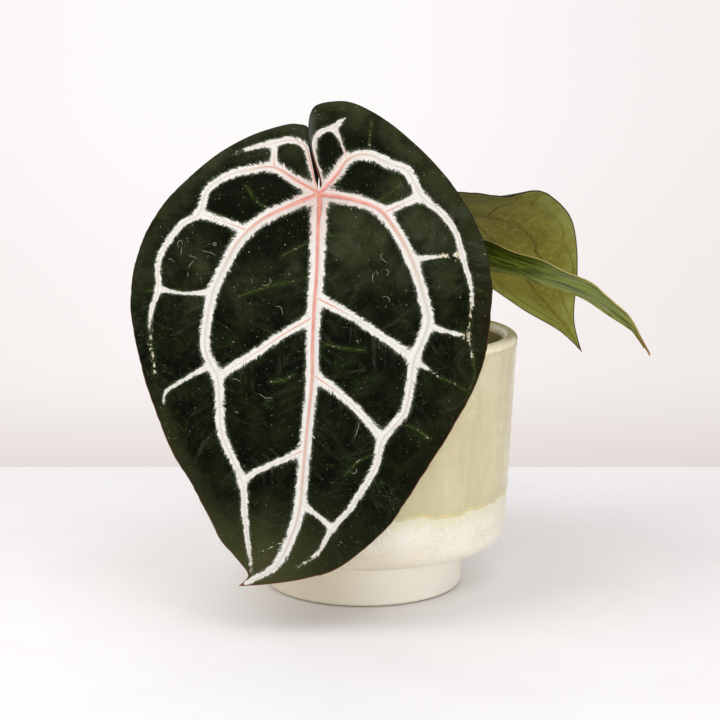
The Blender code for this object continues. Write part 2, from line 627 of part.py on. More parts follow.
def build():
    clear_scene()
    velvet = make_material("velvet_blade", (0.012, 0.028, 0.012), 0.42)
    white = make_material("pale_net", (0.86, 0.84, 0.80), 0.60)
    olive = make_material("olive_blade", (0.10, 0.13, 0.025), 0.45)
    green = make_material("green_blade", (0.05, 0.14, 0.02), 0.35)
    stalk = make_material("stalk", (0.24, 0.26, 0.10), 0.45)
    root = make_material("root", (0.42, 0.33, 0.22), 0.80)
    bark = make_material("crown", (0.30, 0.23, 0.12), 0.80)

    make_pot()
    heart = (HEART_SIDE, [(-x, y) for x, y in HEART_SIDE], HEART_TIP)
    make_leaf("big", BIG_LEAF, (BIG_RIGHT, BIG_LEFT, BIG_TIP), list(BIG_VEINS.values()), velvet, white)
    make_leaf("back", BACK_LEAF, heart, heart_routes(), olive, white)
    make_leaf("side", SIDE_LEAF, heart, heart_routes(), green, None)

    stalks = {"big_stalk": (BIG_STALK, BIG_LEAF), "back_stalk": (BACK_STALK, BACK_LEAF), "side_stalk": (SIDE_STALK, SIDE_LEAF)}
    tubes = []
    for name, (route, leaf) in stalks.items():
        path, radii = stalk_shape(route, leaf)
        tube(name, path, radii, stalk)
        tubes.append((path, radii))
    for name, route in ROOT_ROUTES.items():
        path = smooth_path(route, 4.0)
        radii = [ROOT_RADIUS * (1.0 - 0.15 * k / len(path)) for k in range(len(path))]
        tube(name, path, radii, root)
        tubes.append((path, radii))

    crown = turned("crown", crown_profile(), bark, sides=CROWN_SIDES)
    boolean(crown, "DIFFERENCE", [tube("cutter", *widened(*t), None) for t in tubes])
    keep_largest(crown)
    hole = [(r, z) for r, z in crown_profile(GAP)]
    hole = hole[:4] + [(CROWN_RADIUS + GAP, POT_HEIGHT), (0, POT_HEIGHT)]
    seats = [turned("cutter", hole, None, sides=CROWN_SIDES)]
    seats += [tube("cutter", *widened(*t), None) for t in tubes[3:]]
    make_mix(seats)


build()
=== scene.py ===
import math
import random
from functools import partial

import bpy
import numpy as np
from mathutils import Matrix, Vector, noise
from mathutils.geometry import delaunay_2d_cdt


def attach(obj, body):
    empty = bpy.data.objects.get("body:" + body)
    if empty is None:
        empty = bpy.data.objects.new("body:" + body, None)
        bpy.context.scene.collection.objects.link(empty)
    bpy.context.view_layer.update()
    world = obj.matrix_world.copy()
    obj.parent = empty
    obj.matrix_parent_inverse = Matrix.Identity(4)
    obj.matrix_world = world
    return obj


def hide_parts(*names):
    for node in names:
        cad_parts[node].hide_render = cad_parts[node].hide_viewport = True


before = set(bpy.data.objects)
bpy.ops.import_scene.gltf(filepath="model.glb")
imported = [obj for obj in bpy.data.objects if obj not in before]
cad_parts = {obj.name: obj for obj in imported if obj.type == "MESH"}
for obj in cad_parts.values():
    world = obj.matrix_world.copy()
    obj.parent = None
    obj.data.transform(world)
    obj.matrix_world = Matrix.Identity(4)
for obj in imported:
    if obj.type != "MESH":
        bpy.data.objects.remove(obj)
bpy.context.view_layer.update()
mm = 0.001
batch = 2500            # points measured against the veins at a time


# Small helpers

def hexColour(code):
    parts = [int(code[k:k + 2], 16) / 255 for k in (1, 3, 5)]
    return tuple(c / 12.92 if c <= 0.04045 else ((c + 0.055) / 1.055) ** 2.4 for c in parts) + (1.0,)


def smoothStep(t):
    t = np.clip(t, 0, 1)
    return t * t * (3 - 2 * t)


def unit(rows):
    return rows / np.linalg.norm(rows, axis=1)[:, None]


def lengthsAlong(path):
    # how far along the path each of its points is
    return np.concatenate([[0], np.cumsum(np.linalg.norm(np.diff(path, axis=0), axis=1))])


def smoothPath(points, step):
    # evenly spaced points, about a step apart, on a Catmull-Rom curve
    pts = [np.array(p, float) for p in points]
    ends = [2 * pts[0] - pts[1]] + pts + [2 * pts[-1] - pts[-2]]
    dense = []
    for a, b, c, d in zip(ends, ends[1:], ends[2:], ends[3:]):
        for t in np.arange(0, 1, 1 / 24):
            dense.append(0.5 * (2 * b + (c - a) * t + (2 * a - 5 * b + 4 * c - d) * t ** 2
                                + (3 * b - a - 3 * c + d) * t ** 3))
    dense = np.array(dense + [pts[-1]])
    lengths = lengthsAlong(dense)
    stations = np.linspace(0, lengths[-1], max(2, round(lengths[-1] / step) + 1))
    return np.column_stack([np.interp(stations, lengths, dense[:, k]) for k in range(dense.shape[1])])


def spread(values, count):
    # a short list of values, evenly stretched over count places
    return np.interp(np.linspace(0, 1, count), np.linspace(0, 1, len(values)), values)


def roughness3(points, scale, seed):
    # smooth random heights, about -1 to 1, with bumps 1/scale across
    spots = np.column_stack([points, np.zeros(len(points))])[:, :3] * scale + (seed, 0, 0)
    return np.array([noise.noise(spot) for spot in spots])


def ringAngles(sides):
    return 2 * math.pi * np.arange(sides) / sides


def ringQuads(low, high):
    # quads between two rings of point numbers
    return np.column_stack([low, np.roll(low, -1), np.roll(high, -1), high])


def stackFaces(count, sides):
    # the faces of a stack of rings, closed at both ends
    rings = np.arange(count * sides).reshape(count, sides)
    quads = [ringQuads(low, high) for low, high in zip(rings, rings[1:])]
    return quads + [rings[0][::-1][None], rings[-1][None]]


def sheetFaces(rows, columns, start):
    # both sides and the rim of a thin sheet; its back's points come right after its front's
    grid = np.arange(rows * columns).reshape(rows, columns) + start
    quads = np.stack([grid[:-1, :-1], grid[:-1, 1:], grid[1:, 1:], grid[1:, :-1]], axis=-1).reshape(-1, 4)
    loop = np.concatenate([grid[0, :-1], grid[:-1, -1], grid[-1, :0:-1], grid[:0:-1, 0]])
    after, back = np.roll(loop, -1), rows * columns
    return [quads, quads[:, ::-1] + back, np.column_stack([after, loop, loop + back, after + back])]


nodeKinds = {           # the kinds of node in use: the type, and the setting that is fixed in it
    "blend": ("Mix", "data_type", "RGBA"), "mix": ("Mix",), "slope": ("MapRange",),
    "ramp": ("MapRange", "interpolation_type", "SMOOTHSTEP"), "noise": ("TexNoise",), "dots": ("TexVoronoi",),
    "cells": ("TexVoronoi", "feature", "DISTANCE_TO_EDGE"), "bump": ("Bump",), "parts": ("SeparateXYZ",),
    "coordinates": ("TexCoord",), "read": ("Attribute",),
    "plus": ("Math", "operation", "ADD"), "minus": ("Math", "operation", "SUBTRACT"),
    "times": ("Math", "operation", "MULTIPLY"), "timesPlus": ("Math", "operation", "MULTIPLY_ADD"),
    "size": ("Math", "operation", "ABSOLUTE"), "power": ("Math", "operation", "POWER"),
    "most": ("Math", "operation", "MAXIMUM"), "above": ("Math", "operation", "GREATER_THAN"),
    "below": ("Math", "operation", "LESS_THAN"), "stretch": ("VectorMath", "operation", "MULTIPLY"),
    "bend": ("VectorMath", "operation", "MULTIPLY_ADD"), "scale": ("VectorMath", "operation", "SCALE"),
    "distance": ("VectorMath", "operation", "DISTANCE"),
}
vectorFields = ("flat", "veinPlace", "stemPlace")   # the mesh attributes that hold places


def join(value, socket):
    # a node gives its first live output; a string is a colour; anything else is the socket's own value
    if isinstance(value, bpy.types.Node):
        value = next(s for s in value.outputs if s.enabled)
    if isinstance(value, bpy.types.NodeSocket):
        socket.id_data.links.new(value, socket)
    else:
        socket.default_value = hexColour(value) if isinstance(value, str) else value


def addNode(tree, kind, *inputs, **settings):
    # inputs go to the live sockets in their order; None leaves a socket as it is
    shaderType, *fixed = nodeKinds[kind]
    made = tree.nodes.new("ShaderNode" + shaderType)
    if fixed:
        setattr(made, *fixed)
    for name, value in settings.items():
        setattr(made, name, value)
    for socket, value in zip([s for s in made.inputs if s.enabled], inputs):
        if value is not None:
            join(value, socket)
    return made


def newMaterial(name, uniform, *fields):
    # the material, what adds a node to it, its shader, and the mesh attributes that it reads
    material = bpy.data.materials.new(name)
    material.use_nodes = True
    add = partial(addNode, material.node_tree)
    shader = material.node_tree.nodes["Principled BSDF"]
    for socket, value in uniform.items():
        shader.inputs[socket].default_value = value
    read = [add("read", attribute_name=f).outputs["Vector" if f in vectorFields else "Fac"] for f in fields]
    return material, add, shader, *read


def addPiece(name, points, faces, materials, attributes=None, faceMaterials=None):
    # points in mm; faces is a list of arrays, each with one number of corners
    mesh = bpy.data.meshes.new(name)
    mesh.vertices.add(len(points))
    mesh.vertices.foreach_set("co", (np.asarray(points, float) * mm).ravel())
    corners = np.concatenate([np.asarray(f, int).ravel() for f in faces])
    sizes = np.concatenate([np.full(len(f), np.asarray(f).shape[1]) for f in faces])
    mesh.loops.add(len(corners))
    mesh.loops.foreach_set("vertex_index", corners)
    mesh.polygons.add(len(sizes))
    mesh.polygons.foreach_set("loop_start", np.concatenate([[0], np.cumsum(sizes)[:-1]]))
    if faceMaterials is not None:
        mesh.polygons.foreach_set("material_index", faceMaterials)
    mesh.update(calc_edges=True)
    for material in materials:
        mesh.materials.append(material)
    for key, values in (attributes or {}).items():
        flatList = np.asarray(values, float)
        kind, field = ("FLOAT", "value") if flatList.ndim == 1 else ("FLOAT_VECTOR", "vector")
        mesh.attributes.new(key, kind, "POINT").data.foreach_set(field, flatList.ravel())
    mesh.shade_smooth()
    made = bpy.data.objects.new(name, mesh)
    bpy.context.scene.collection.objects.link(made)
    return made


def seat(piece, nodes):
    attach(piece, "root")
    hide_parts(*nodes)
    return piece


# Leaf patterns, flat: x to the right, y towards the lobes, from the junction of blade and stalk.
# A vein is its route, its white band's widths along it, how far the pink runs, its rib's widths and where
# it breaks up.
bigPattern = {
    "right": [(0.1, 2.6), (0.5, 5.2), (0.9, 8), (1.4, 15), (1.6, 22), (1.6, 29), (2.2, 34), (3.8, 37.6),
        (7.6, 39.8), (12.4, 39.8), (20.4, 36), (30.4, 29.2), (40.6, 20), (48.8, 10.8), (55.4, 2),
        (61.6, -7.2), (66.4, -18), (69, -30), (69.6, -42), (67.2, -62), (62.4, -77.6), (53.6, -93),
        (44.6, -107.6), (36.6, -120), (27.6, -132.8), (17, -143), (6.2, -150.4), (-5.8, -154.2),
        (-20, -156.4)],
    "left": [(-0.32, 1.6), (-0.5, 3.4), (-0.3, 5.6), (-0.06, 8.8), (-0.4, 12), (-1.3, 15), (-2.6, 18.5),
        (-3.4, 25), (-4.8, 28.6), (-8, 29.8), (-13.8, 29.6), (-27.8, 25), (-42, 17.2), (-54.2, 7),
        (-64.4, -4.4), (-72.4, -18), (-75.8, -32), (-76.4, -48), (-73, -64), (-67.4, -83.2), (-59.8, -101.6),
        (-51.4, -116), (-44.6, -128.8), (-38.8, -139.4), (-32, -147.4), (-28.6, -153)],
    "tip": (-32.4, -157.4),
    "veins": {
        "midrib": ([(0, 0), (-0.6, -18), (-1, -32), (-2, -46), (-2.6, -60), (-2.8, -74), (-4.2, -88),
            (-6.2, -108), (-8, -126), (-11.8, -138), (-17, -148), (-24.4, -153.4), (-29.4, -156)], (7.0, 6.4,
            5.8, 5.2, 4.8, 4.6, 4.6, 4.2, 1.8), 150, (2.3, 2.1, 2.0, 1.7, 1.2, 0.5), 1.0),
        "leftBasal": ([(0, 0), (-11.8, -4.8), (-23, -10.4), (-31.8, -18.4), (-37.8, -29.2), (-42.2, -39),
            (-44.8, -52), (-45, -63), (-40.4, -73), (-39.4, -84), (-38.4, -96), (-30.6, -114.6),
            (-29.6, -128), (-28, -142), (-27, -151)], (4.8, 5.2, 5.0, 4.4, 4.0, 3.8, 3.2, 2.6, 1.2), 48, (2.2,
            1.8, 1.1, 0.7, 0.5), 0.93),
        "leftUpper": ([(0, 0), (-9.8, 6), (-18.2, 11.2), (-28, 10.4), (-37, 8), (-45, 2.4), (-48.4, -7.2),
            (-55, -11.2), (-60.8, -18.4), (-64.6, -26), (-64.8, -37.6), (-67.6, -47), (-67.6, -60),
            (-65.6, -73)], (4.6, 4.6, 3.8, 3.4, 3.0, 2.8, 2.4, 2.2, 1.6, 0.8), 34, (1.6, 1.0, 0.5, 0.4),
            0.78),
        "leftLobe": ([(0, 0), (-1.5, 3.8), (-2.4, 6.8), (-2.9, 9.8), (-3.7, 13.2), (-4.4, 16.8), (-5.2, 19.4),
            (-7.0, 21.6), (-9.8, 22.8), (-13, 23), (-18.6, 21.6), (-25.8, 20.2), (-35, 17.4)], (2.4, 2.4, 2.6,
            3.0, 2.2, 0.8), 34, (0.6, 0.55, 0.5, 0.4), 0.86),
        "leftLobeBar": ([(-18.2, 11.2), (-18.6, 21.4)], (3.0, 2.4), 5, (0.7, 0.5), 1.0),
        "leftBar1": ([(-28.6, -14.6), (-38, -10.8), (-48.4, -7.2)], (3.8, 3.0, 3.6), 8, (0.6, 0.5), 1.0),
        "leftBar2": ([(-42.2, -38.9), (-53, -39.6), (-64.7, -37.6)], (3.0, 0.9, 2.0), 0, (0.4, 0.3), 1.0),
        "leftBar3": ([(-43.2, -68.6), (-52, -73.2), (-61.6, -79.4), (-61.5, -86.5)], (3.0, 1.5, 1.5, 0.7), 0,
            (0.4, 0.3), 0.8),
        "leftCross1": ([(-2.4, -49.4), (-13.8, -56), (-25.8, -64), (-40.4, -73)], (4.2, 3.4, 3.4, 3.8), 34,
            (0.7, 0.5, 0.5), 1.0),
        "leftCross2": ([(-5.6, -102), (-13.8, -105.6), (-23, -109.6), (-30.8, -114.4)], (3.4, 2.2, 2.8), 8,
            (0.5, 0.4), 1.0),
        "rightBasal": ([(0, 0), (12.2, -2), (23.4, -6), (29.6, -13.4), (34.2, -21.2), (38.4, -31), (41, -40),
            (43, -51.6), (37.6, -66), (36.2, -76), (33.4, -87.4), (24.8, -98), (22.2, -108.8), (12.6, -124.8),
            (4.8, -134), (-0.6, -143.2), (-9, -149.6)], (4.8, 5.2, 4.8, 4.6, 4.2, 3.8, 3.4, 2.8, 2.0, 1.5),
            56, (2.3, 2.0, 1.2, 0.7, 0.5), 0.9),
        "rightUpper": ([(0, 0), (5.4, 5.7), (7.8, 8.8), (10.8, 13.6), (14.4, 16.2), (20.2, 16.4),
            (28.2, 12.8), (35.4, 9.6), (40.6, -0.4), (48.2, -6.4), (54.4, -14.6), (57, -23.6), (60.6, -36.6),
            (60.8, -46), (59.6, -57), (61.4, -66)], (3.6, 4.0, 4.6, 4.4, 3.4, 2.8, 2.4, 1.8, 1.1, 0.6), 30,
            (1.6, 1.1, 0.6, 0.4), 0.74),
        "rightLobe": ([(10.9, 14.6), (10.6, 17.7), (10.0, 19.8), (9.4, 22.7), (8.7, 25.0), (7.9, 26.9),
            (6.9, 27.9), (6.0, 27.4), (4.9, 26.4), (3.7, 24.3), (2.9, 22.3), (2.6, 20), (2.4, 18.2),
            (2.3, 16), (2.1, 12.7), (2.1, 8.3), (1.6, 2.9), (0.3, 0.3)], (0.9, 0.7, 1.2, 1.5, 1.3, 0.5, 0.5,
            0.6, 0.9), 7, (0.3, 0.3, 0.4, 0.3, 0.35, 0.5), 1.0),
        "rightLobeSpur": ([(7.5, 28.0), (8.7, 29.8), (9.5, 31.4), (10.1, 32.1), (10.8, 32.6)], (1.6, 1.8, 1.2,
            0.5), 0, (0.5, 0.3), 1.0),
        "rightBar1": ([(25.6, -7.6), (34.2, -3.2), (40.8, -0.6)], (4.4, 3.2, 4.2), 10, (0.7, 0.5), 1.0),
        "rightBar2": ([(36.4, -26.4), (44.2, -25.2), (57, -23.6)], (3.4, 1.4, 2.2), 0, (0.4, 0.3), 0.5),
        "rightBar3": ([(42.8, -53), (50.2, -54.8), (59.6, -57)], (3.4, 1.5, 1.7), 0, (0.4, 0.3), 0.75),
        "rightBar4": ([(37.6, -66.6), (43.4, -70), (48.4, -73.2)], (3.4, 1.3, 0.6), 0, (0.4, 0.3), 0.5),
        "rightCross1": ([(-1.6, -41.4), (10.2, -47.6), (22.2, -55.2), (37.6, -65.6)], (4.6, 3.4, 3.2, 4.0),
            16, (0.8, 0.5, 0.5), 1.0),
        "rightCross2": ([(-2.8, -72), (7.4, -79.2), (17, -88), (25, -97.6)], (4.4, 3.2, 3.2), 14, (0.7, 0.5),
            1.0),
        "rightCross3": ([(-7.8, -122.8), (-1.4, -127.6), (5.2, -133.4)], (2.8, 1.9, 2.4), 0, (0.4, 0.3), 1.0),
    },
    "faint": [  # thin yellowish veins in the dark tissue
        [(-29.8, 3.6), (-24.6, -3.2), (-18.6, -6.8)], [(-7.8, -34.8), (-20.6, -37.6), (-31.8, -41.2)],
        [(-14.6, -25.2), (-3.8, -19.2)], [(2.2, -16.8), (12.2, -17.2)], [(-14.6, -138.8), (-24.6, -143.2)],
        [(-9.8, -72), (-14, -74.4), (-19.8, -75.2)], [(2.2, -60), (9, -61.6), (18.2, -62.8)],
        [(48.4, -73.2), (54.2, -76), (58.6, -79)], [(61.4, -66), (62, -72), (59.4, -80)],
        [(34.2, -92), (39, -94), (44.2, -98)], [(20.2, 16), (20, 24), (21, 32)],
        [(24, -2.4), (30, 1.6), (33, 5)],
        [(60.6, -36.6), (65, -38.4)], [(-64.8, -37.6), (-70, -38.6)], [(10, -112), (16, -106), (21, -104)],
    ],
}
heartSide = [(0.8, 2), (1.6, 9), (5, 18), (13, 25.5), (24, 28), (36, 24), (46, 14), (52, 0), (53.5, -16),
             (50, -38), (43, -58), (33, -78), (21, -96), (11, -108), (5.5, -116), (2.4, -124)]
heartVeins = {              # one half; the other half mirrors it
    "basal": ([(0, 0), (12, -1), (23, -7), (31, -17), (35.5, -30), (36, -45), (32.5, -60), (23, -85),
        (13, -103), (5, -117)], (3.8, 3.6, 3.0, 2.2, 1.2), 30, (1.3, 0.9, 0.6, 0.5), 1.0),
    "upper": ([(0, 0), (6, 9), (13, 16), (23, 18), (33, 13), (41, 1), (46, -14), (47.5, -30), (45, -45),
        (40.5, -58)], (3.4, 3.0, 2.4, 1.8, 1.0), 20, (1.0, 0.7, 0.5, 0.4), 0.7),
    "lobeBar": ([(13, 16), (12.5, 21)], (2.2, 1.6), 0, (0.5, 0.4), 1.0),
    "bar1": ([(24.4, -8), (33, -3), (41, 1)], (2.8, 2.0, 2.6), 0, (0.5, 0.4), 1.0),
    "bar2": ([(35.5, -30), (41, -31), (47.5, -30)], (2.0, 1.0, 1.6), 0, (0.4, 0.3), 1.0),
    "cross1": ([(0, -38), (12, -44), (24, -53), (32.5, -60)], (3.4, 2.6, 2.8), 12, (0.6, 0.5), 1.0),
    "cross2": ([(0, -66), (11, -74), (23, -85)], (3.0, 2.4, 2.6), 8, (0.5, 0.4), 1.0),
    "cross3": ([(0, -94), (6, -99), (13, -103)], (2.4, 1.8, 2.0), 0, (0.4, 0.3), 1.0),
}
backVeins = {
    "midrib": ([(0, 0), (1.5, -20), (3, -45), (4, -66), (3.7, -82), (3.1, -90), (1.8, -98), (0.7, -105),
        (0, -115), (0, -123)], (4.6, 4.0, 3.0, 1.4), 80, (1.6, 1.3, 0.9, 0.5), 1.0),
    "nearBasal": ([(0.8, -18), (-3.4, -24), (-7, -29), (-9.8, -34), (-12.4, -42.7), (-13.3, -52),
        (-12.6, -59), (-11.4, -63), (-9.3, -66.2), (-9.3, -73), (-8.6, -84), (-6.8, -94), (-5.2, -99),
        (-4, -105), (-3, -112)], (3.6, 3.2, 2.8, 2.0, 1.0), 20, (1.4, 1.1, 0.9, 0.7, 0.4), 1.0),
    "nearUpper": ([(-7, -29), (-13.3, -25), (-18.8, -22), (-23, -22.2), (-26.4, -23.6), (-29.6, -31.8),
        (-29.4, -38.6), (-30.6, -47.5), (-28.5, -57), (-26, -63.4), (-23.9, -66.4), (-22.4, -67.8),
        (-22.4, -72.6), (-19.4, -83.7), (-16, -90)], (3.0, 2.6, 2.2, 1.2), 0, (0.9, 0.6, 0.5, 0.45, 0.3),
        1.0),
    "nearCross": ([(-12.4, -43), (-16.5, -43.2), (-22.7, -41.6), (-29.2, -39.4)], (2.6, 2.0), 0, (0.6, 0.5),
        1.0),
    "nearBar": ([(-12.9, -59), (-16.2, -61), (-19, -64.6), (-22.4, -67.8)], (2.6, 2.0), 0, (0.7, 0.5), 1.0),
    "nearTwig1": ([(-26.4, -23.6), (-33, -17), (-40, -12)], (1.6, 0.8), 0, (0.4, 0.3), 1.0),
    "nearTwig2": ([(-29.6, -31.8), (-35, -27), (-40, -24)], (1.6, 0.8), 0, (0.4, 0.3), 1.0),
    "nearLobe": ([(0, 0), (-8, 2), (-14, 6), (-20, 9), (-25, 11)], (3.0, 2.4, 1.2), 12, (1.0, 0.7, 0.4), 1.0),
    "farBasal": ([(0, 0), (10, -3), (20, -10), (26, -22), (28, -38), (26, -55), (22, -70), (17, -80.5),
        (14, -88.5), (10, -95), (6, -101), (2, -108)], (3.6, 3.4, 2.8, 1.0), 26, (1.3, 0.9, 0.6, 0.4), 1.0),
    "farUpper": ([(0, 0), (5, 9), (11, 15), (19, 17), (27, 12), (33, 1), (37, -14), (38, -28), (36, -43),
        (32, -56)], (3.2, 2.8, 2.2, 0.9), 18, (1.0, 0.7, 0.4), 0.8),
    "farBar1": ([(20, -10), (27, -4), (33, 1)], (2.6, 2.2), 0, (0.6, 0.5), 1.0),
    "farBar2": ([(28, -38), (33, -32), (38, -28)], (2.0, 1.4), 0, (0.5, 0.4), 1.0),
    "farCross1": ([(1.8, -30), (10, -38), (20, -48), (26, -55)], (3.0, 2.4), 12, (0.8, 0.6), 1.0),
    "farCross2": ([(3.8, -62), (11, -69), (18, -78.6)], (2.8, 2.2), 0, (0.7, 0.5), 1.0),
}


def heartPattern(sx, sy):
    # the plain heart that the two smaller leaves share, drawn to its width and length
    veins = {"midrib": ([(0, 0), (0, -40 * sy), (0, -90 * sy), (0, -126 * sy)], (5.0, 4.2, 3.2, 1.6), 80,
                        (1.6, 1.2, 0.8, 0.5), 1.0)}
    for name, (route, *rest) in heartVeins.items():
        for side in (1, -1):
            veins[f"{name}{side}"] = ([(x * side * sx, y * sy) for x, y in route], *rest)
    right = [(x * sx, y * sy) for x, y in heartSide]
    return {"right": right, "left": [(-x, y) for x, y in right], "tip": (0, -132 * sy), "veins": veins,
            "faint": []}


# How each leaf is held: heading about +Z from +X and pitch below the horizontal, both at the junction.
bigLeaf = {
    "pattern": bigPattern, "junction": (-17.7, -58.7, 176.5), "heading": -90.0, "pitch": 70.5, "roll": 0.0,
    "bow": 0.0021, "bowGain": 0.0, "twist": 0.0, "gutter": 0.05, "curlRight": 0.0036, "curlLeft": 0.0038,
    "lobeBow": 0.007, "puff": 1.5, "scallop": 0.5, "wave": 1.1, "waveLength": 33.0, "phases": (0.6, 2.3),
    "rim": 0.12, "rimLift": 0.0, "lap": 6.5, "cell": 0.8,
}
backLeaf = {
    "pattern": dict(heartPattern(0.808, 0.955), veins=backVeins), "junction": (32.7, 29.9, 164.9),
    "heading": 46.8, "pitch": 10.5, "roll": -1.0, "bow": 0.0092, "bowGain": -0.000017, "twist": 0.0066,
    "gutter": 0.18, "curlRight": 0.0015, "curlLeft": 0.0002, "lobeBow": 0.004, "puff": 0.2, "scallop": 0.0,
    "wave": 0.9, "waveLength": 45.0, "phases": (0.6, -2.2), "rim": 0.12, "rimLift": 0.0, "lap": 0.0,
    "cell": 0.8,
}
sideLeaf = {
    "pattern": heartPattern(0.53, 0.696), "junction": (46.9, -4.0, 146.0), "heading": -25.2, "pitch": 18.0,
    "roll": 0.6, "bow": -0.0074, "bowGain": 0.000333, "twist": 0.001, "gutter": 0.094, "curlRight": 0.0017,
    "curlLeft": 0.0015, "lobeBow": 0.006, "puff": 0.8, "scallop": 0.0, "wave": 0.5, "waveLength": 26.0,
    "phases": (0.6, 2.3), "rim": 0.16, "rimLift": 0.6, "lap": 0.0, "cell": 0.7,
}
bladeForm = {
    "spineStep": 2.0, "spineLength": 180.0, "puffReach": 7.0, "waveReach": 14.0, "junctionReach": 12.0,
    "lapReach": 7.0, "lapRise": 26.0, "lapLift": 4.6, "roll": 2.4, "rollReach": 2.0,
    "top": 0.40, "bottom": 0.28, "marginRound": 1.0,   # half thicknesses over and under the middle
    "underSwell": 0.35, "webbing": 1.4, "pucker": 0.16, "dimple": 0.22,
    "hairLean": 0.6, "veinApart": 7.7,                 # for the noise along the veins, each with its own
}


# Leaf surface

def makeForm(leaf):
    pattern = leaf["pattern"]
    right, left = (smoothPath(pattern[side] + [pattern["tip"]], leaf["cell"]) for side in ("right", "left"))
    notch = np.array([[(right[0][0] + left[0][0]) / 2, right[0][1] * 0.5]])
    for side, towards in ((right, -1), (left, 1)):
        # small scallops, cut inwards only
        run = np.gradient(side, axis=0)
        away = unit(np.column_stack([run[:, 1], -run[:, 0]])) * towards
        uneven = 0.5 + 0.7 * roughness3(side, 1 / 8.0, 21.0) + 0.35 * roughness3(side, 1 / 2.6, 33.0)
        cut = leaf["scallop"] * uneven * smoothStep((20 - side[:, 1]) / 20)
        side -= away * (cut * smoothStep((side[:, 1] + 148) / 8))[:, None]
    outline = np.concatenate([notch, right, left[::-1][1:]])
    starts, ends, facts, firsts, veins = [], [], [], [], []
    for number, (route, bands, reach, ribs, whole) in enumerate(pattern["veins"].values()):
        path = smoothPath(route, 2.0)
        count = len(path)
        share = np.linspace(0, 1, count)
        along = lengthsAlong(path)
        half, rib = spread(bands, count) / 2, spread(ribs, count) / 2
        blush = smoothStep(1.25 - along / reach) if reach else np.zeros(count)
        patchy = smoothStep((share - whole) / 0.12) if whole < 1 else np.zeros(count)
        firsts.append(sum(len(s) for s in starts))
        starts.append(path[:-1])
        ends.append(path[1:])
        table = np.column_stack([half, along, blush, patchy, rib, np.full(count, number)])
        facts.append(np.stack([table[:-1], table[1:]], axis=1))
        veins.append({"path": path, "table": table, "whole": whole})
    start, end = np.concatenate(starts), np.concatenate(ends)
    faint = [smoothPath(route, 2.0) for route in pattern["faint"]]
    return {
        "leaf": leaf, "frames": leafSpine(leaf), "outline": outline, "starts": start, "runs": end - start,
        "facts": np.concatenate(facts), "firsts": firsts, "veins": veins, "faint": faint,
    }


def leafSpine(leaf):
    heading, pitch, roll = (math.radians(leaf[k]) for k in ("heading", "pitch", "roll"))
    step = bladeForm["spineStep"]
    along = np.array([math.cos(heading) * math.cos(pitch), math.sin(heading) * math.cos(pitch),
                      -math.sin(pitch)])
    normal = np.array([0, 0, 1.0])
    normal -= along * normal.dot(along)
    normal /= np.linalg.norm(normal)
    normal = normal * math.cos(roll) + np.cross(normal, along) * math.sin(roll)
    place = np.array(leaf["junction"], float)
    frames = [(place, along, normal)]
    for k in range(int(bladeForm["spineLength"] / step)):
        turn = (leaf["bow"] + leaf["bowGain"] * (k + 0.5) * step) * step
        half = along * math.cos(turn / 2) - normal * math.sin(turn / 2)
        place = place + half * step
        along, normal = (along * math.cos(turn) - normal * math.sin(turn),
                         normal * math.cos(turn) + along * math.sin(turn))
        twist = leaf["twist"] * step
        normal = normal * math.cos(twist) + np.cross(normal, along) * math.sin(twist)
        frames.append((place, along, normal))
    return [np.array(column) for column in zip(*frames)]


def nearestOn(points, starts, runs):
    # distance from each point to each segment, and where along the segment
    rel = points[:, None, :] - starts
    t = np.clip((rel * runs).sum(2) / np.maximum((runs ** 2).sum(1), 1e-9), 0, 1)
    off = rel - t[..., None] * runs
    return np.hypot(off[..., 0], off[..., 1]), t, off


def readFields(form, flat):
    # what each point of the flat pattern needs to know about the veins and the margin
    perVein = ("bandHalf", "along", "blush", "patchy", "rib", "vein")
    names = perVein + ("near", "bandGap", "across", "marginGap", "faintGap")
    out = {name: np.full(len(flat), 99.0) for name in names}
    webbing = bladeForm["webbing"]
    edgeRuns = np.roll(form["outline"], -1, axis=0) - form["outline"]
    for a in range(0, len(flat), batch):
        part = slice(a, a + batch)
        points = flat[part]
        dist, t, off = nearestOn(points, form["starts"], form["runs"])
        facts = form["facts"][:, 0] + t[..., None] * (form["facts"][:, 1] - form["facts"][:, 0])
        gap = dist - facts[..., 0]
        best = gap.argmin(1)
        rows = np.arange(len(points))
        gaps = np.minimum.reduceat(gap, form["firsts"], axis=1)
        out["bandGap"][part] = -np.log(np.exp(-gaps * webbing).sum(1)) / webbing
        out["near"][part] = dist.min(1)
        run = form["runs"][best]
        turn = run[:, 0] * off[rows, best, 1] - run[:, 1] * off[rows, best, 0]
        out["across"][part] = dist[rows, best] * np.sign(turn)
        for column, name in enumerate(perVein):
            out[name][part] = facts[rows, best, column]
        out["marginGap"][part] = nearestOn(points, form["outline"], edgeRuns)[0].min(1)
        for path in form["faint"]:
            faintGap = nearestOn(points, path[:-1], np.diff(path, axis=0))[0].min(1)
            out["faintGap"][part] = np.minimum(out["faintGap"][part], faintGap)
    return out


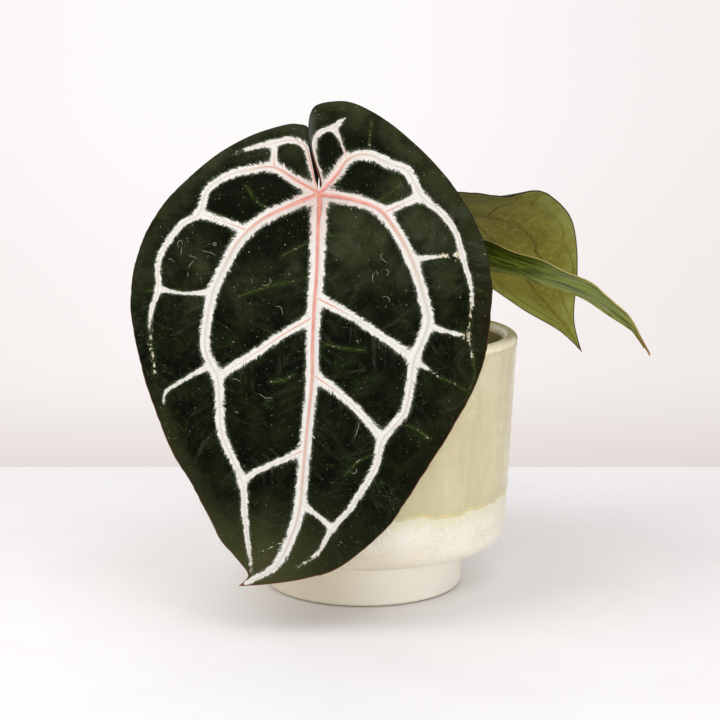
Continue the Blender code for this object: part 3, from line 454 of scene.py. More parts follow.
def carry(form, flat, fields):
    # from the flat pattern to the bent, waved and puffed blade
    leaf, b = form["leaf"], bladeForm
    x, y = flat[:, 0].copy(), flat[:, 1]
    margin = fields["marginGap"]
    lift = leaf["puff"] * (1 - np.exp(-(fields["near"] / b["puffReach"]) ** 2)) * smoothStep(margin / 9.0)
    phase = np.where(x > 0, *leaf["phases"])
    waves = np.sin(2 * math.pi * y / leaf["waveLength"] + phase)
    lift += leaf["wave"] * smoothStep(1 - margin / b["waveReach"]) * waves
    lift += leaf["rimLift"] * smoothStep(1 - margin / 0.7) * (x > 0)
    lift += b["dimple"] * roughness3(flat, 1 / 6.0, 3.1) * smoothStep(fields["near"] / 4)
    ripples = np.column_stack([fields["along"] / 3.2, np.abs(fields["across"]) / 14.0, fields["vein"] * 5.3])
    puckered = b["pucker"] * roughness3(ripples, 1.0, 9.4)
    lift += puckered * smoothStep((fields["near"] - 1) / 4) * smoothStep(margin / 6)
    if leaf["lap"]:
        over = np.exp(-(x / b["lapReach"]) ** 2) * smoothStep(y / b["lapRise"]) * (x > 0) * (y > 0)
        lift -= b["roll"] * np.exp(-(x / b["rollReach"]) ** 2) * smoothStep(y / 8) * (x > 0) * (y > 0)
        x -= leaf["lap"] * over
        lift += b["lapLift"] * over
    s = np.clip(-y, 0, None) / b["spineStep"]
    k = np.minimum(s.astype(int), len(form["frames"][0]) - 2)
    t = (s - k)[:, None]
    place, along, normal = (column[k] * (1 - t) + column[k + 1] * t for column in form["frames"])
    up = np.clip(y, 0, None)[:, None]
    place = place - along * up - normal * leaf["lobeBow"] * up * up / 2
    across = np.cross(normal, along)
    curl = np.where(x > 0, leaf["curlRight"], leaf["curlLeft"])
    start = -leaf["gutter"]
    out = (np.sin(start + curl * np.abs(x)) - math.sin(start)) / curl
    rise = (np.cos(start + curl * np.abs(x)) - math.cos(start)) / curl
    return place + across * np.copysign(out, x)[:, None] + normal * (rise + lift)[:, None]


def insideOutline(outline, points):
    hits = np.zeros(len(points), bool)
    for a, b in zip(outline, np.roll(outline, -1, axis=0)):
        crosses = (a[1] > points[:, 1]) != (b[1] > points[:, 1])
        if a[1] != b[1]:
            hits ^= crosses & (points[:, 0] < a[0] + (points[:, 1] - a[1]) * (b[0] - a[0]) / (b[1] - a[1]))
    return hits


def cutPattern(form):
    # triangles over the flat pattern, its outline kept sharp
    outline, cell = form["outline"], form["leaf"]["cell"]
    low, high = outline.min(0), outline.max(0)
    rows = np.arange(low[1], high[1], cell * 0.866)   # for triangles with nearly equal sides
    columns = np.arange(low[0], high[0], cell)
    gx, gy = np.meshgrid(columns, rows)
    gx = gx + (np.arange(len(rows)) % 2)[:, None] * cell / 2
    grid = np.column_stack([gx.ravel(), gy.ravel()])
    grid = grid[insideOutline(outline, grid)]
    edgeRuns = np.roll(outline, -1, axis=0) - outline
    clear = np.concatenate([nearestOn(grid[a:a + batch], outline, edgeRuns)[0].min(1)
                            for a in range(0, len(grid), batch)])
    points = np.concatenate([outline, grid[clear > cell * 0.55]])
    count = len(outline)
    edges = [(k, (k + 1) % count) for k in range(count)]
    cut = delaunay_2d_cdt([Vector(p) for p in points], edges, [], 0, 1e-4)
    flat = np.array([tuple(v) for v in cut[0]])
    triangles = np.array([tuple(f) for f in cut[2]])
    return flat, triangles[insideOutline(outline, flat[triangles].mean(1))]


def meshNormals(points, triangles):
    a, b, c = (points[triangles[:, k]] for k in range(3))
    faceNormals = np.cross(b - a, c - a)
    normals = np.zeros_like(points)
    for k in range(3):
        np.add.at(normals, triangles[:, k], faceNormals)
    return normals / np.maximum(np.linalg.norm(normals, axis=1), 1e-12)[:, None]


def rimFaces(triangles, count):
    # quads that join the upper sheet's open edge to the lower sheet's
    edges = np.concatenate([triangles[:, [0, 1]], triangles[:, [1, 2]], triangles[:, [2, 0]]])
    codes = edges[:, 0].astype(np.int64) * count + edges[:, 1]
    back = edges[:, 1].astype(np.int64) * count + edges[:, 0]
    rim = edges[~np.isin(codes, back)]
    return np.column_stack([rim[:, 1], rim[:, 0], rim[:, 0] + count, rim[:, 1] + count])


def nearJunction(flat):
    # 1 where all the veins meet, fading outwards
    return np.exp(-(np.hypot(flat[:, 0], flat[:, 1]) / bladeForm["junctionReach"]) ** 2)


def makeBlade(name, form, topMaterial, underMaterial):
    b = bladeForm
    flat, triangles = cutPattern(form)
    fields = readFields(form, flat)
    middle = carry(form, flat, fields)
    normals = meshNormals(middle, triangles)
    full = np.sqrt(1 - (1 - np.clip(fields["marginGap"] / b["marginRound"], 0, 1)) ** 2)
    rim = form["leaf"]["rim"]
    top = rim + (b["top"] - rim) * full
    swell = b["underSwell"] * np.exp(-(fields["near"] / 2.0) ** 2) * np.clip(fields["rib"] * 1.6, 0, 1)
    bottom = rim + (b["bottom"] - rim) * full + swell
    points = np.concatenate([middle + normals * top[:, None], middle - normals * bottom[:, None]])
    count = len(flat)
    faces = [triangles, triangles[:, ::-1] + count, rimFaces(triangles, count)]
    kinds = np.concatenate([np.full(len(f), k) for f, k in zip(faces, (0, 1, 0))])
    skew = fields["along"] - b["hairLean"] * np.abs(fields["across"])
    place = np.column_stack([skew, fields["across"], fields["vein"] * b["veinApart"]])
    attributes = {"flat": np.column_stack([flat, np.zeros(count)]), "veinPlace": place,
                  "junction": nearJunction(flat)}
    for key in ("bandGap", "bandHalf", "blush", "patchy", "marginGap", "faintGap", "near"):
        attributes[key] = fields[key]
    attributes = {key: np.concatenate([values, values]) for key, values in attributes.items()}
    print(f"{name}: {len(triangles) * 2} triangles")
    return addPiece(name, points, faces, [topMaterial, underMaterial], attributes, kinds)


netForm = {
    "step": 0.8, "reach": 0.35, "apart": 0.003,       # how far each rib lies under the one before it
    "over": {"columns": 13, "share": 0.5, "ribShare": 1.7, "least": 0.1, "sunk": 0.05, "crown": 0.05,
             "rise": 0.8, "depth": 0.25, "power": 1.4},
    "under": {"columns": 9, "share": 0.0, "ribShare": 0.85, "least": 0.16, "sunk": 0.05, "crown": 0.0,
              "rise": 0.55, "depth": 0.2, "power": 1.0},
}


def makeNet(name, form, material, side="over"):
    # the raised ribs: over the blade each on the middle of its white band, under it plain
    n, b = netForm[side], bladeForm
    over = side == "over"
    away, skin = (1, b["top"]) if over else (-1, b["bottom"] + b["underSwell"] * 0.8)
    points, faces, total = [], [], 0
    attributes = {key: [] for key in ("veinPlace", "ribShare", "blush", "ribHalf", "junction")}
    u = np.linspace(-1, 1, n["columns"])
    u = np.sign(u) * np.abs(u) ** n["power"]
    for number, vein in enumerate(form["veins"]):
        path = smoothPath(vein["path"], netForm["step"])
        keep = round(len(path) * min(1, vein["whole"] + 0.04)) if over else len(path)
        half, along, blush, _, rib, index = (spread(column, len(path))[:keep] for column in vein["table"].T)
        path = path[:keep]
        direction = unit(np.gradient(path, axis=0))
        flank = np.column_stack([-direction[:, 1], direction[:, 0]])
        taper = smoothStep((along[-1] - along) / 6 + 0.06)
        width = np.maximum(half * n["share"], rib * n["ribShare"] + n["least"]) * taper
        width = np.minimum(width, np.maximum(half * 0.9, 0.3)) if over else width
        flat = (path[:, None] + flank[:, None] * width[:, None, None] * u[None, :, None]).reshape(-1, 2)
        spots = [flat] + [flat + np.array(o) * netForm["reach"] for o in ((1, 0), (-1, 0), (0, 1), (0, -1))]
        carried = [carry(form, s, readFields(form, s)) for s in spots]
        normal = np.cross(carried[1] - carried[2], carried[3] - carried[4])
        normal *= away / np.linalg.norm(normal, axis=1)[:, None]
        offset = width[:, None] * np.abs(u)[None]
        ridge = np.exp(-(offset / (rib[:, None] + 0.05)) ** 2) if over else np.sqrt(1 - u[None] ** 2)
        lifted = n["rise"] * (np.clip(rib, 0.2, 1)[:, None] if over else width[:, None]) * ridge
        height = skin + n["crown"] * (1 - u[None] ** 2) - n["sunk"] + lifted * taper[:, None]
        height = height - number * netForm["apart"]
        points += [carried[0] + normal * height.reshape(-1)[:, None],
                   carried[0] + normal * (skin - n["depth"])]
        columns = n["columns"]
        made = sheetFaces(len(path), columns, total)
        faces += [f[:, ::-1] for f in made] if over else made
        total += 2 * len(path) * columns
        skew = np.repeat(along, columns) - b["hairLean"] * offset.reshape(-1)
        across = (width[:, None] * u[None]).reshape(-1)
        share = 1 - smoothStep((offset - rib[:, None] * 0.4) / (rib[:, None] * 0.55 + 0.1))
        place = np.column_stack([skew, across, np.repeat(index, columns) * b["veinApart"]])
        blushed, strength = np.repeat(blush, columns), np.repeat(rib, columns)
        for key, values in zip(attributes, (place, share.reshape(-1), blushed, strength, nearJunction(flat))):
            attributes[key] += [values] * 2
    attributes = {key: np.concatenate(values) for key, values in attributes.items()}
    print(f"{name}: {sum(len(f) for f in faces) * 2} triangles")
    return addPiece(name, np.concatenate(points), faces, [material], attributes)


# Leaf finishes

velvetLook = {
    "dark": "#050802", "green": "#141a09", "lobe": "#33371f", "sheenHaze": "#363c2d", "fibre": "#2f3a18",
    "halo": "#2c3717", "faint": "#5a692c", "fleck": "#dcd9bd", "outer": "#262310", "band": "#dfded8",
    "stroke": "#9d9c93", "wisp": "#85867a", "cream": "#cfc39a", "nearJunction": "#cfb9b1",
    "creaseShade": "#84655d", "marginDark": "#2b1f15", "marginRed": "#84503f", "speck": "#e2e2d4",
    "fold": "#0b0705", "foldEdge": "#8d5846", "rolledSheen": "#484c43", "hairSpacing": 0.4, "hairLength": 0.78,
    "lumpSize": 2.6, "tipGreen": "#424427",
    # painted shade in the hollows between the veins: middle, full out to, gone at, what is left of the light
    # tissue
    "shadedHollows": [((-24, -7), 16, 31, 0.05), ((-58, -9), 12, 34, 0.5), ((14, 13), 11, 22, 0.1)],
}


def bandSkin(add, look, junction, hairs):
    # silvery-white tissue: pale hairs over grey strokes, flushed with pink where all the veins meet
    strokes = add("times", add("ramp", hairs, 0.5, 0.72, 0.0, 0.8), add("timesPlus", junction, 0.5, 0.5))
    band = add("blend", strokes, look["band"], look["stroke"])
    flushed = add("times", add("power", junction, 0.4), add("ramp", hairs, 0.66, 0.4, 0.4, 0.95))
    return add("blend", flushed, band, look["nearJunction"])


def velvetLeaf(name, look):
    # Living leaf, velvet type: tiny raised cells swallow the light: near black, with a soft grey bloom that
    # is painted sheen.
    material, add, shader, flat, place, gap, half, junction, patchy, margin, faint = newMaterial(
        name, {"Roughness": 0.5, "IOR": 1.4, "Specular IOR Level": 0.04},
        "flat", "veinPlace", "bandGap", "bandHalf", "junction", "patchy", "marginGap", "faintGap")
    spot = add("parts", flat)
    x, y = spot.outputs["X"], spot.outputs["Y"]

    # tissue, mottled over 5 to 10 mm, lighter on the lobes (painted sheen), browner at the right margin,
    # greener at the tip
    mottle = add("noise", flat, 0.11, 4.0, 0.6)
    tissue = add("blend", add("ramp", mottle, 0.38, 0.66), look["dark"], look["green"])
    # painted shade: the tissue darkened in the hollows between the veins, which also keeps the painted sheen
    # out of them
    hollowShade = 1.0
    for middle, full, gone, left in look["shadedHollows"]:
        away = add("distance", flat, (*middle, 0))
        hollowShade = add("times", hollowShade, add("ramp", away, full, gone, left, 1.0))
    tissue = add("blend", add("ramp", hollowShade, 0.7, 0.0, 0.0, 0.85), tissue, look["dark"])
    smoke = add("noise", flat, 0.045, 5.0, 0.62, None, 1.6)
    # painted sheen: the lobes, turned up towards the light, drawn lighter grey-green
    lobeSheen = add("ramp", add("timesPlus", smoke, 50.0, y), -32.0, 22.0, 0.0, 0.95)
    mottled = add("times", add("ramp", mottle, 0.32, 0.6, 0.35, 1.0), add("ramp", gap, 0.3, 6.0, 0.4, 1.0))
    lobeSheen = add("times", add("times", lobeSheen, mottled), hollowShade)
    tissue = add("blend", lobeSheen, tissue, look["lobe"])
    atTip = add("times", add("ramp", add("timesPlus", smoke, 24.0, y), -104.0, -138.0, 0.0, 0.85),
                add("ramp", x, 14.0, -24.0, 0.2, 1.0))
    tissue = add("blend", atTip, tissue, look["tipGreen"])
    outer = add("times", add("ramp", margin, 3.0, 15.0, 0.42, 0.0), add("ramp", x, 20.0, 60.0))
    tissue = add("blend", outer, tissue, look["outer"])
    streaks = add("noise", add("stretch", place, (0.42, 0.05, 1.0)), 1.0, 4.0, 0.6, None, 0.5)
    # painted sheen: a grey haze in soft clouds and in streaks along the veins
    paintedSheen = add("times", add("ramp", smoke, 0.46, 0.7, 0.0, 0.7), lobeSheen)
    paintedSheen = add("timesPlus", add("ramp", streaks, 0.5, 0.7, 0.0, 0.42),
                add("ramp", smoke, 0.4, 0.55, 0.15, 1.0), paintedSheen)
    tissue = add("blend", add("times", paintedSheen, hollowShade), tissue, look["sheenHaze"])
    lowLeft = add("times", add("ramp", x, -26.0, -48.0), add("ramp", y, -66.0, -96.0))
    lowLeft = add("times", lowLeft, add("ramp", margin, 1.0, 9.0, 0.5, 0.0))
    tissue = add("blend", lowLeft, tissue, look["lobe"])

    # thin veins: a faint fibrous net, and the named ones, yellow-green, with pale flecks where the skin split
    bend = add("noise", flat, 0.13, 3.0, 0.6, None, 0.8)
    ridge = add("size", add("minus", bend, 0.5))
    fibres = add("times", add("ramp", ridge, 0.0, 0.01, 0.6, 0.0), add("ramp", smoke, 0.4, 0.55, 0.25, 1.0))
    tissue = add("blend", fibres, tissue, look["fibre"])
    breaks = add("noise", flat, 0.55, 3.0, 0.6)
    wander = add("plus", faint, add("slope", breaks, 0.3, 0.7, -0.14, 0.2))
    glow = add("times", add("ramp", wander, 0.2, 1.7, 0.55, 0.0), add("ramp", breaks, 0.35, 0.6, 0.3, 1.0))
    tissue = add("blend", glow, tissue, look["halo"])
    named = add("ramp", wander, 0.02, 0.36, 0.65, 0.0)
    tissue = add("blend", named, tissue, look["faint"])
    flecks = add("times", add("ramp", faint, 0.15, 0.45, 0.9, 0.0), add("ramp", breaks, 0.6, 0.64))
    tissue = add("blend", flecks, tissue, look["fleck"])
    halo = add("times", add("ramp", gap, 0.2, 1.6, 0.9, 0.0),
               add("ramp", add("noise", flat, 0.3, 2.0, 0.6), 0.42, 0.66))
    tissue = add("blend", halo, tissue, look["halo"])

    # white specks, 0.1 to 0.3 mm, of uneven strength and gathered in places
    gathered = add("times", add("ramp", add("noise", flat, 0.09, 2.0, 0.6), 0.42, 0.6, 0.22, 1.0),
                   add("ramp", y, -40.0, -110.0, 1.0, 0.55))
    for size, most, radius in ((0.34, 0.4, 0.22), (0.75, 0.5, 0.15)):
        dots = add("dots", flat, size)
        shown = add("times",
                    add("ramp", dots.outputs["Distance"], radius * size * 0.7, radius * size * 1.2, 1.0, 0.0),
                    add("slope", dots.outputs["Color"], most, 1.0, 0.0, 1.0))
        tissue = add("blend", add("times", shown, gathered), tissue, look["speck"])

    # white bands with a feathered edge: fine hairs of changing length that lean forward along the vein, and
    # slower lumps, over greyer, longer wisps
    hairs = add("noise", add("stretch", place, (1 / look["hairSpacing"], 0.5, 1.0)), 1.0, 2.0, 0.6)
    wisps = add("noise", add("stretch", place, (1.7, 0.3, 1.0)), 1.0, 4.0, 0.7)
    lumps = add("noise", place, 1 / look["lumpSize"], 3.0, 0.6)
    reach = add("timesPlus", junction, 0.7, add("slope", half, 0.3, 2.0, 0.35, 1.0))
    combed = add("ramp", add("noise", place, 0.22, 3.0, 0.6), 0.4, 0.62, 0.12, 1.0)
    hairShift = add("times", add("slope", hairs, 0.34, 0.66, -look["hairLength"], look["hairLength"]), combed)
    lumpShift = add("slope", lumps, 0.25, 0.75, -0.55, 0.65)
    shift = add("times", add("plus", hairShift, lumpShift), reach)
    holes = add("noise", place, 0.55, 4.0, 0.75)
    broken = add("timesPlus", add("slope", holes, 0.4, 0.6, -0.3, 1.7), patchy, shift)
    edge = add("plus", gap, broken)
    white = add("ramp", edge, -0.16, 0.16, 1.0, 0.0)
    wispShift = add("times", add("slope", wisps, 0.32, 0.68, -1.5, 1.0), reach)
    wispy = add("ramp", add("plus", gap, wispShift), -0.35, 0.5, 0.38, 0.0)
    tissue = add("blend", add("times", wispy, add("minus", 1.0, patchy)), tissue, look["wisp"])
    band = bandSkin(add, look, junction, hairs)
    band = add("blend", add("slope", edge, -0.9, 0.15, 0.0, 0.35), band, look["stroke"])
    band = add("blend", add("times", patchy, add("ramp", breaks, 0.42, 0.6, 0.2, 0.9)), band, look["cream"])
    skin = add("blend", white, tissue, band)
    redder = add("blend", add("ramp", y, -20.0, -90.0), look["marginDark"], look["marginRed"])
    skin = add("blend", add("ramp", margin, 0.1, 0.5, 0.9, 0.0), skin, redder)

    # the rolled edge between the lobes: painted grey sheen above, painted black shade below where the gap
    # between the lobes lies in shadow, with a thin red-brown line along it
    reachRight = add("plus", add("ramp", y, 0.0, 6.0, 0.3, 1.9), add("ramp", y, 15.0, 24.0, 0.0, -1.6))
    shadeRight = add("times", add("ramp", add("minus", x, reachRight), -0.15, 0.12, 1.0, 0.0),
                    add("above", x, 0.0))
    reachLeft = add("slope", y, 1.0, 20.0, 0.75, 4.3)
    shadeLeft = add("times", add("ramp", add("plus", x, reachLeft), -0.3, 0.1), add("ramp", y, 24.0, 19.0))
    shadeLeft = add("times", shadeLeft, add("below", x, 0.0))
    foldShade = add("times", add("plus", shadeRight, shadeLeft), add("ramp", y, 0.3, 1.3))
    # painted sheen on the rolled strip of the right lobe
    rolledSheen = add("times", add("ramp", margin, 0.3, 2.4, 0.85, 0.0),
                add("ramp", add("size", add("minus", x, 2.2)), 1.6, 1.2))
    rolledSheen = add("times", rolledSheen, add("times", add("ramp", y, 12.0, 18.0), add("ramp", y, 36.0, 31.0)))
    skin = add("blend", rolledSheen, skin, look["rolledSheen"])
    lines = add("noise", add("stretch", flat, (3.2, 0.16, 1.0)), 1.0, 2.0, 0.6)
    edgeLine = add("times", add("ramp", margin, 0.5, 0.25), add("above", x, 0.0))
    redLine = add("most", edgeLine, add("ramp", lines, 0.62, 0.72, 0.0, 0.45))
    # painted shade: the fold drawn near black, with the red-brown margin line and streaks over it
    skin = add("blend", foldShade, skin, add("blend", redLine, look["fold"], look["foldEdge"]))
    join(skin, shader.inputs["Base Color"])

    grain = add("noise", flat, 1.6, 3.0, 0.7)  # real cells are 0.05 mm; drawn at 0.6 mm so that they show
    join(add("bump", 0.3, 0.00025, None, add("timesPlus", named, -0.6, grain)), shader.inputs["Normal"])
    return material


ribLook = dict(velvetLook, pink="#dd9384", deepPink="#ca7968", ribHighlight="#efc1b3", ribShade="#b3705f",
               tan="#b3a68a")


def veinSkin(name, look):
    # Living leaf vein: smooth, wet-looking rib, pink near the stalk, on a matt silvery-white band.
    material, add, shader, place, share, blush, junction = newMaterial(
        name, {"Roughness": 0.34, "IOR": 1.42, "Specular IOR Level": 0.5},
        "veinPlace", "ribShare", "blush", "junction")
    hairs = add("noise", add("stretch", place, (1 / look["hairSpacing"], 0.7, 1.0)), 1.0, 2.0, 0.6)
    band = bandSkin(add, look, junction, hairs)
    deeper = add("ramp", add("noise", place, 0.16, 2.0, 0.6), 0.35, 0.65)
    pink = add("blend", deeper, look["pink"], look["deepPink"])
    # painted highlight on one side of each rib and painted shade on the other, as far as the rib is pink
    side = add("parts", place).outputs["Y"]
    pink = add("blend", add("times", add("ramp", side, 0.1, 0.7, 0.0, 0.45), blush), pink, look["ribHighlight"])
    pink = add("blend", add("times", add("ramp", side, -0.15, -0.8, 0.0, 0.6), blush), pink, look["ribShade"])
    rib = add("blend", blush, look["tan"], pink)
    # painted shade: a grey-pink crease beside each rib, close to the stalk
    creaseShading = add("times", add("ramp", share, 0.02, 0.35),
                 add("ramp", add("noise", place, 0.5, 2.0, 0.6), 0.42, 0.6, 0.0, 0.8))
    band = add("blend", add("times", creaseShading, junction), band, look["creaseShade"])
    skin = add("blend", add("times", share, add("slope", blush, 0.0, 1.0, 0.42, 0.92)), band, rib)
    join(skin, shader.inputs["Base Color"])
    join(add("bump", 0.1, 0.0002, None, hairs), shader.inputs["Normal"])
    return material


undersideLook = {
    "olive": "#878134", "deep": "#706a26", "green": "#8f944a", "light": "#9fa057", "vein": "#5b520c",
    "faintVein": "#7a781d", "margin": "#3a2a14",
}


def leafUnderside(name, look):
    # Living leaf seen from below: matt olive tissue, paler and greener towards the margin.
    material, add, shader, flat, margin = newMaterial(
        name, {"Roughness": 0.6, "IOR": 1.4, "Specular IOR Level": 0.12}, "flat", "marginGap")
    broad = add("ramp", add("noise", flat, 0.05, 4.0, 0.6), 0.35, 0.65)
    tissue = add("blend", broad, look["deep"], look["olive"])
    outer = add("times", add("ramp", margin, 2.0, 12.0, 1.0, 0.0),
                add("ramp", add("noise", flat, 0.08, 3.0, 0.6), 0.3, 0.6))
    tissue = add("blend", outer, tissue, look["green"])
    small = add("noise", flat, 0.35, 3.0, 0.6)
    tissue = add("blend", add("ramp", small, 0.48, 0.75, 0.0, 0.45), tissue, look["light"])
    bend = add("noise", flat, 0.2, 2.0, 0.6)
    bent = add("bend", bend.outputs["Color"], (6.0, 6.0, 0.0), flat)
    cells = add("cells", bent, 0.12, None, None, None, 0.9)
    fine = add("ramp", cells, 0.0, 0.05, 0.3, 0.0)
    tissue = add("blend", fine, tissue, look["faintVein"])
    skin = add("blend", add("ramp", margin, 0.3, 0.75, 0.95, 0.0), tissue, look["margin"])
    join(skin, shader.inputs["Base Color"])
    join(add("bump", 0.3, 0.0003, None, add("timesPlus", fine, 1.2, small)), shader.inputs["Normal"])
    return material


def underRib(name, look):
    # Living leaf vein from below: a smooth cord, strong near the stalk, fading into the tissue further out.
    material, add, shader, place, half = newMaterial(
        name, {"Roughness": 0.5, "IOR": 1.42, "Specular IOR Level": 0.15}, "veinPlace", "ribHalf")
    tone = add("blend", add("ramp", half, 0.22, 0.5), look["faintVein"], look["vein"])
    mottle = add("ramp", add("noise", place, 0.5, 3.0, 0.6), 0.4, 0.7, 0.0, 0.35)
    join(add("blend", mottle, tone, look["light"]), shader.inputs["Base Color"])
    return material


greenLook = {"base": "#2a3802", "middle": "#5a671c", "pale": "#858b44", "shade": "#141e03", "tip": "#7b4a2a",
             "vein": "#1a2704", "margin": "#d3b87c", "length": 92.136}   # of the midrib, in mm


def greenLeaf(name, look):
    # Young leaf, smooth type: waxy deep green, folded along its midrib, paler further out, its tip brown.
    material, add, shader, flat, near, margin = newMaterial(
        name, {"Roughness": 0.45, "IOR": 1.45, "Specular IOR Level": 0.045}, "flat", "near", "marginGap")
    length = look["length"]
    spot = add("parts", flat)
    x, y = spot.outputs["X"], spot.outputs["Y"]
    streaks = add("noise", add("stretch", flat, (0.5, 0.035, 1.0)), 1.0, 3.0, 0.6)
    patches = add("noise", add("stretch", flat, (0.2, 0.06, 1.0)), 1.0, 3.0, 0.6)
    far = add("timesPlus", add("ramp", patches, 0.35, 0.65, -14.0, 14.0), 1.0, add("times", y, -1.0))
    tissue = add("blend", add("ramp", far, 6.0, length * 0.55), look["base"], look["middle"])
    # painted sheen: pale streaks, stronger further out along the leaf
    pale = add("times", add("ramp", streaks, 0.42, 0.7, 0.0, 0.9),
               add("ramp", far, 14.0, length * 0.62, 0.1, 1.0))
    tissue = add("blend", pale, tissue, look["pale"])
    # painted shade: dark streaks, strongest towards the base
    deeper = add("plus", streaks, add("ramp", far, 0.0, length * 0.5, -0.09, 0.03))
    tissue = add("blend", add("ramp", deeper, 0.46, 0.32, 0.0, 0.85), tissue, look["shade"])
    side = add("plus", x, add("ramp", patches, 0.35, 0.65, -0.5, 0.5))
    fold = add("times", add("ramp", add("size", side), 0.25, 1.1, 0.85, 0.0),
               add("ramp", y, -length * 0.8, -length * 0.5))
    tissue = add("blend", fold, tissue, look["vein"])
    tissue = add("blend", add("ramp", near, 0.2, 0.8, 0.4, 0.0), tissue, look["vein"])
    tissue = add("blend", add("ramp", y, -length * 0.86, -length * 0.95), tissue, look["tip"])
    rim = add("times", add("ramp", margin, 0.25, 0.7, 0.9, 0.0), add("ramp", x, -1.0, 2.0, 0.1, 1.0))
    join(add("blend", rim, tissue, look["margin"]), shader.inputs["Base Color"])
    join(add("bump", 0.2, 0.0004, None, streaks), shader.inputs["Normal"])
    return material


threadLook = {
    "count": 24, "length": (2.0, 6.5), "radius": 0.055, "stride": 0.22, "sides": 6, "seed": 4,
    "pale": "#b7b6a4", "tan": "#9a8062",
    "bandClear": 0.5, "marginClear": 1.5,             # the least room to a white band and to the margin
    "hubs": [(-49, -28), (-44, -22), (-16, -34), (20, -34), (-28, -82), (16, -112), (30, -36), (-34, -66),
             (8, -92), (-56, -30)],
}


def scratchedSkin(name, look):
    # Dried skin scar, raised by a scratch: thin, papery and pale, a few gone brown.
    uniform = {"Roughness": 0.6, "Specular IOR Level": 0.3}
    material, add, shader, place = newMaterial(name, uniform, "stemPlace")
    brown = add("ramp", add("noise", place, 0.8, 3.0, 0.6), 0.45, 0.7)
    join(add("blend", brown, look["pale"], look["tan"]), shader.inputs["Base Color"])
    return material


def makeThreads(name, form, material):
    # short curled scars on the upper face, in a few loose groups
    look = threadLook
    rng = random.Random(look["seed"])
    stride, sides = look["stride"], look["sides"]
    points, faces, places, total = [], [], [], 0
    for k in range(look["count"]):
        hub = look["hubs"][k % len(look["hubs"])]
        spot = np.array([hub[0] + rng.gauss(0, 4.5), hub[1] + rng.gauss(0, 4.5)])
        heading, bend, length = rng.uniform(0, 6.3), rng.gauss(0, 0.09), rng.uniform(*look["length"])
        steps = max(6, int(length / stride))
        line = []
        for step in range(steps):
            line.append(spot)
            heading += bend + rng.gauss(0, 0.07)
            bend += rng.gauss(0, 0.018)
            spot = spot + stride * np.array([math.cos(heading), math.sin(heading)])
        flat = np.array(line)
        fields = readFields(form, flat)
        if fields["bandGap"].min() < look["bandClear"] or fields["marginGap"].min() < look["marginClear"]:
            continue
        path = carry(form, flat, fields)
        step, rise = (carry(form, flat + o, readFields(form, flat + o)) - path for o in ((0.3, 0), (0, 0.3)))
        normal = unit(np.cross(step, rise))
        path = path + normal * (bladeForm["top"] + look["radius"] * 0.3)
        across = np.cross(unit(np.gradient(path, axis=0)), normal)
        girth = look["radius"] * (0.35 + 0.9 * np.sin(math.pi * (np.arange(steps) + 0.5) / steps))
        for a in (2 * math.pi * n / sides for n in range(sides)):
            points.append(path + (across * math.cos(a) + normal * math.sin(a)) * girth[:, None])
            places.append(np.outer(np.arange(steps) * stride + k * 9.0, (1, 0, 0)))
        grid = np.arange(sides * steps).reshape(sides, steps) + total
        ring = np.roll(grid, -1, axis=0)
        faces.append(np.stack([grid[:, :-1], ring[:, :-1], ring[:, 1:], grid[:, 1:]], axis=-1).reshape(-1, 4))
        faces += [grid[:, 0][None], grid[::-1, -1][None]]
        total += sides * steps
    return addPiece(name, np.concatenate(points), faces, [material], {"stemPlace": np.concatenate(places)})


underGreen = dict(undersideLook, olive="#86904a", deep="#6f7a38", green="#8a974c", light="#9aa35e",
                  vein="#59662a", margin="#8a7a45")
underBig = dict(undersideLook, olive="#6c6a33", deep="#574f29", green="#6f7136", light="#7f7a44",
                vein="#a08a5c", faintVein="#857a48", margin="#5a3528")
velvet = velvetLeaf("velvetLeaf", velvetLook)
ribs = veinSkin("veinSkin", ribLook)
undersides = {"big": underBig, "back": undersideLook, "side": underGreen}
forms = {"big": makeForm(bigLeaf), "back": makeForm(backLeaf), "side": makeForm(sideLeaf)}
uppers = {"big": velvet, "back": velvet, "side": greenLeaf("greenLeaf", greenLook)}
for leafName, slotName in (("big", "velvet_leaf"), ("back", "olive_leaf"), ("side", "green_leaf")):
    form, underLook = forms[leafName], undersides[leafName]
    under = leafUnderside(f"{leafName}Underside", underLook)
    seat(makeBlade(f"{leafName}Blade", form, uppers[leafName], under), [f"{leafName}_blade"])
    cords = makeNet(f"{leafName}UnderRibs", form, underRib(f"{leafName}UnderRib", underLook), "under")
    seat(cords, [f"{leafName}_blade"])
for leafName in ("big", "back"):
    seat(makeNet(f"{leafName}Net", forms[leafName], ribs), [f"{leafName}_net"])
scarSkin = scratchedSkin("scratchedSkin", threadLook)
seat(makeThreads("scars", forms["big"], scarSkin), ["big_blade"])
print("leaves made")


# Pot

potSize = {
    "rimRadius": 67.5, "height": 112.5, "wall": 5.2, "footRadius": 43.4, "footHeight": 19.5,
    "shoulderRadius": 63.3, "floorTop": 27.0, "sides": 288, "glazeEdge": 42.9, "grooveHeight": 109.0,
    "grooveDepth": 0.4, "lip": 3.1, "throwing": 0.09, "wobble": 0.14, "glazeThickness": 0.24, "bead": 0.16,
    # the glaze's lower edge: waves round the pot, each with how many, how high in mm and where it starts
    "glazeWaves": [(1, 1.2, 1.57), (2, 0.8, 0.4), (5, 0.5, 2.0), (9, 0.45, 0.9), (17, 0.4, 2.6),
                   (31, 0.32, 1.1), (53, 0.2, 0.3)],
}


def arc(centre, radius, start, end, count):
    angles = np.radians(np.linspace(start, end, count + 1))
    return [(centre[0] + radius * math.cos(a), centre[1] + radius * math.sin(a)) for a in angles]


def innerRadius(z):
    p = potSize
    t = (z - p["floorTop"]) / (p["height"] - p["floorTop"])
    return (p["shoulderRadius"] - p["wall"] - 1.5) * (1 - t) + (p["rimRadius"] - p["wall"]) * t


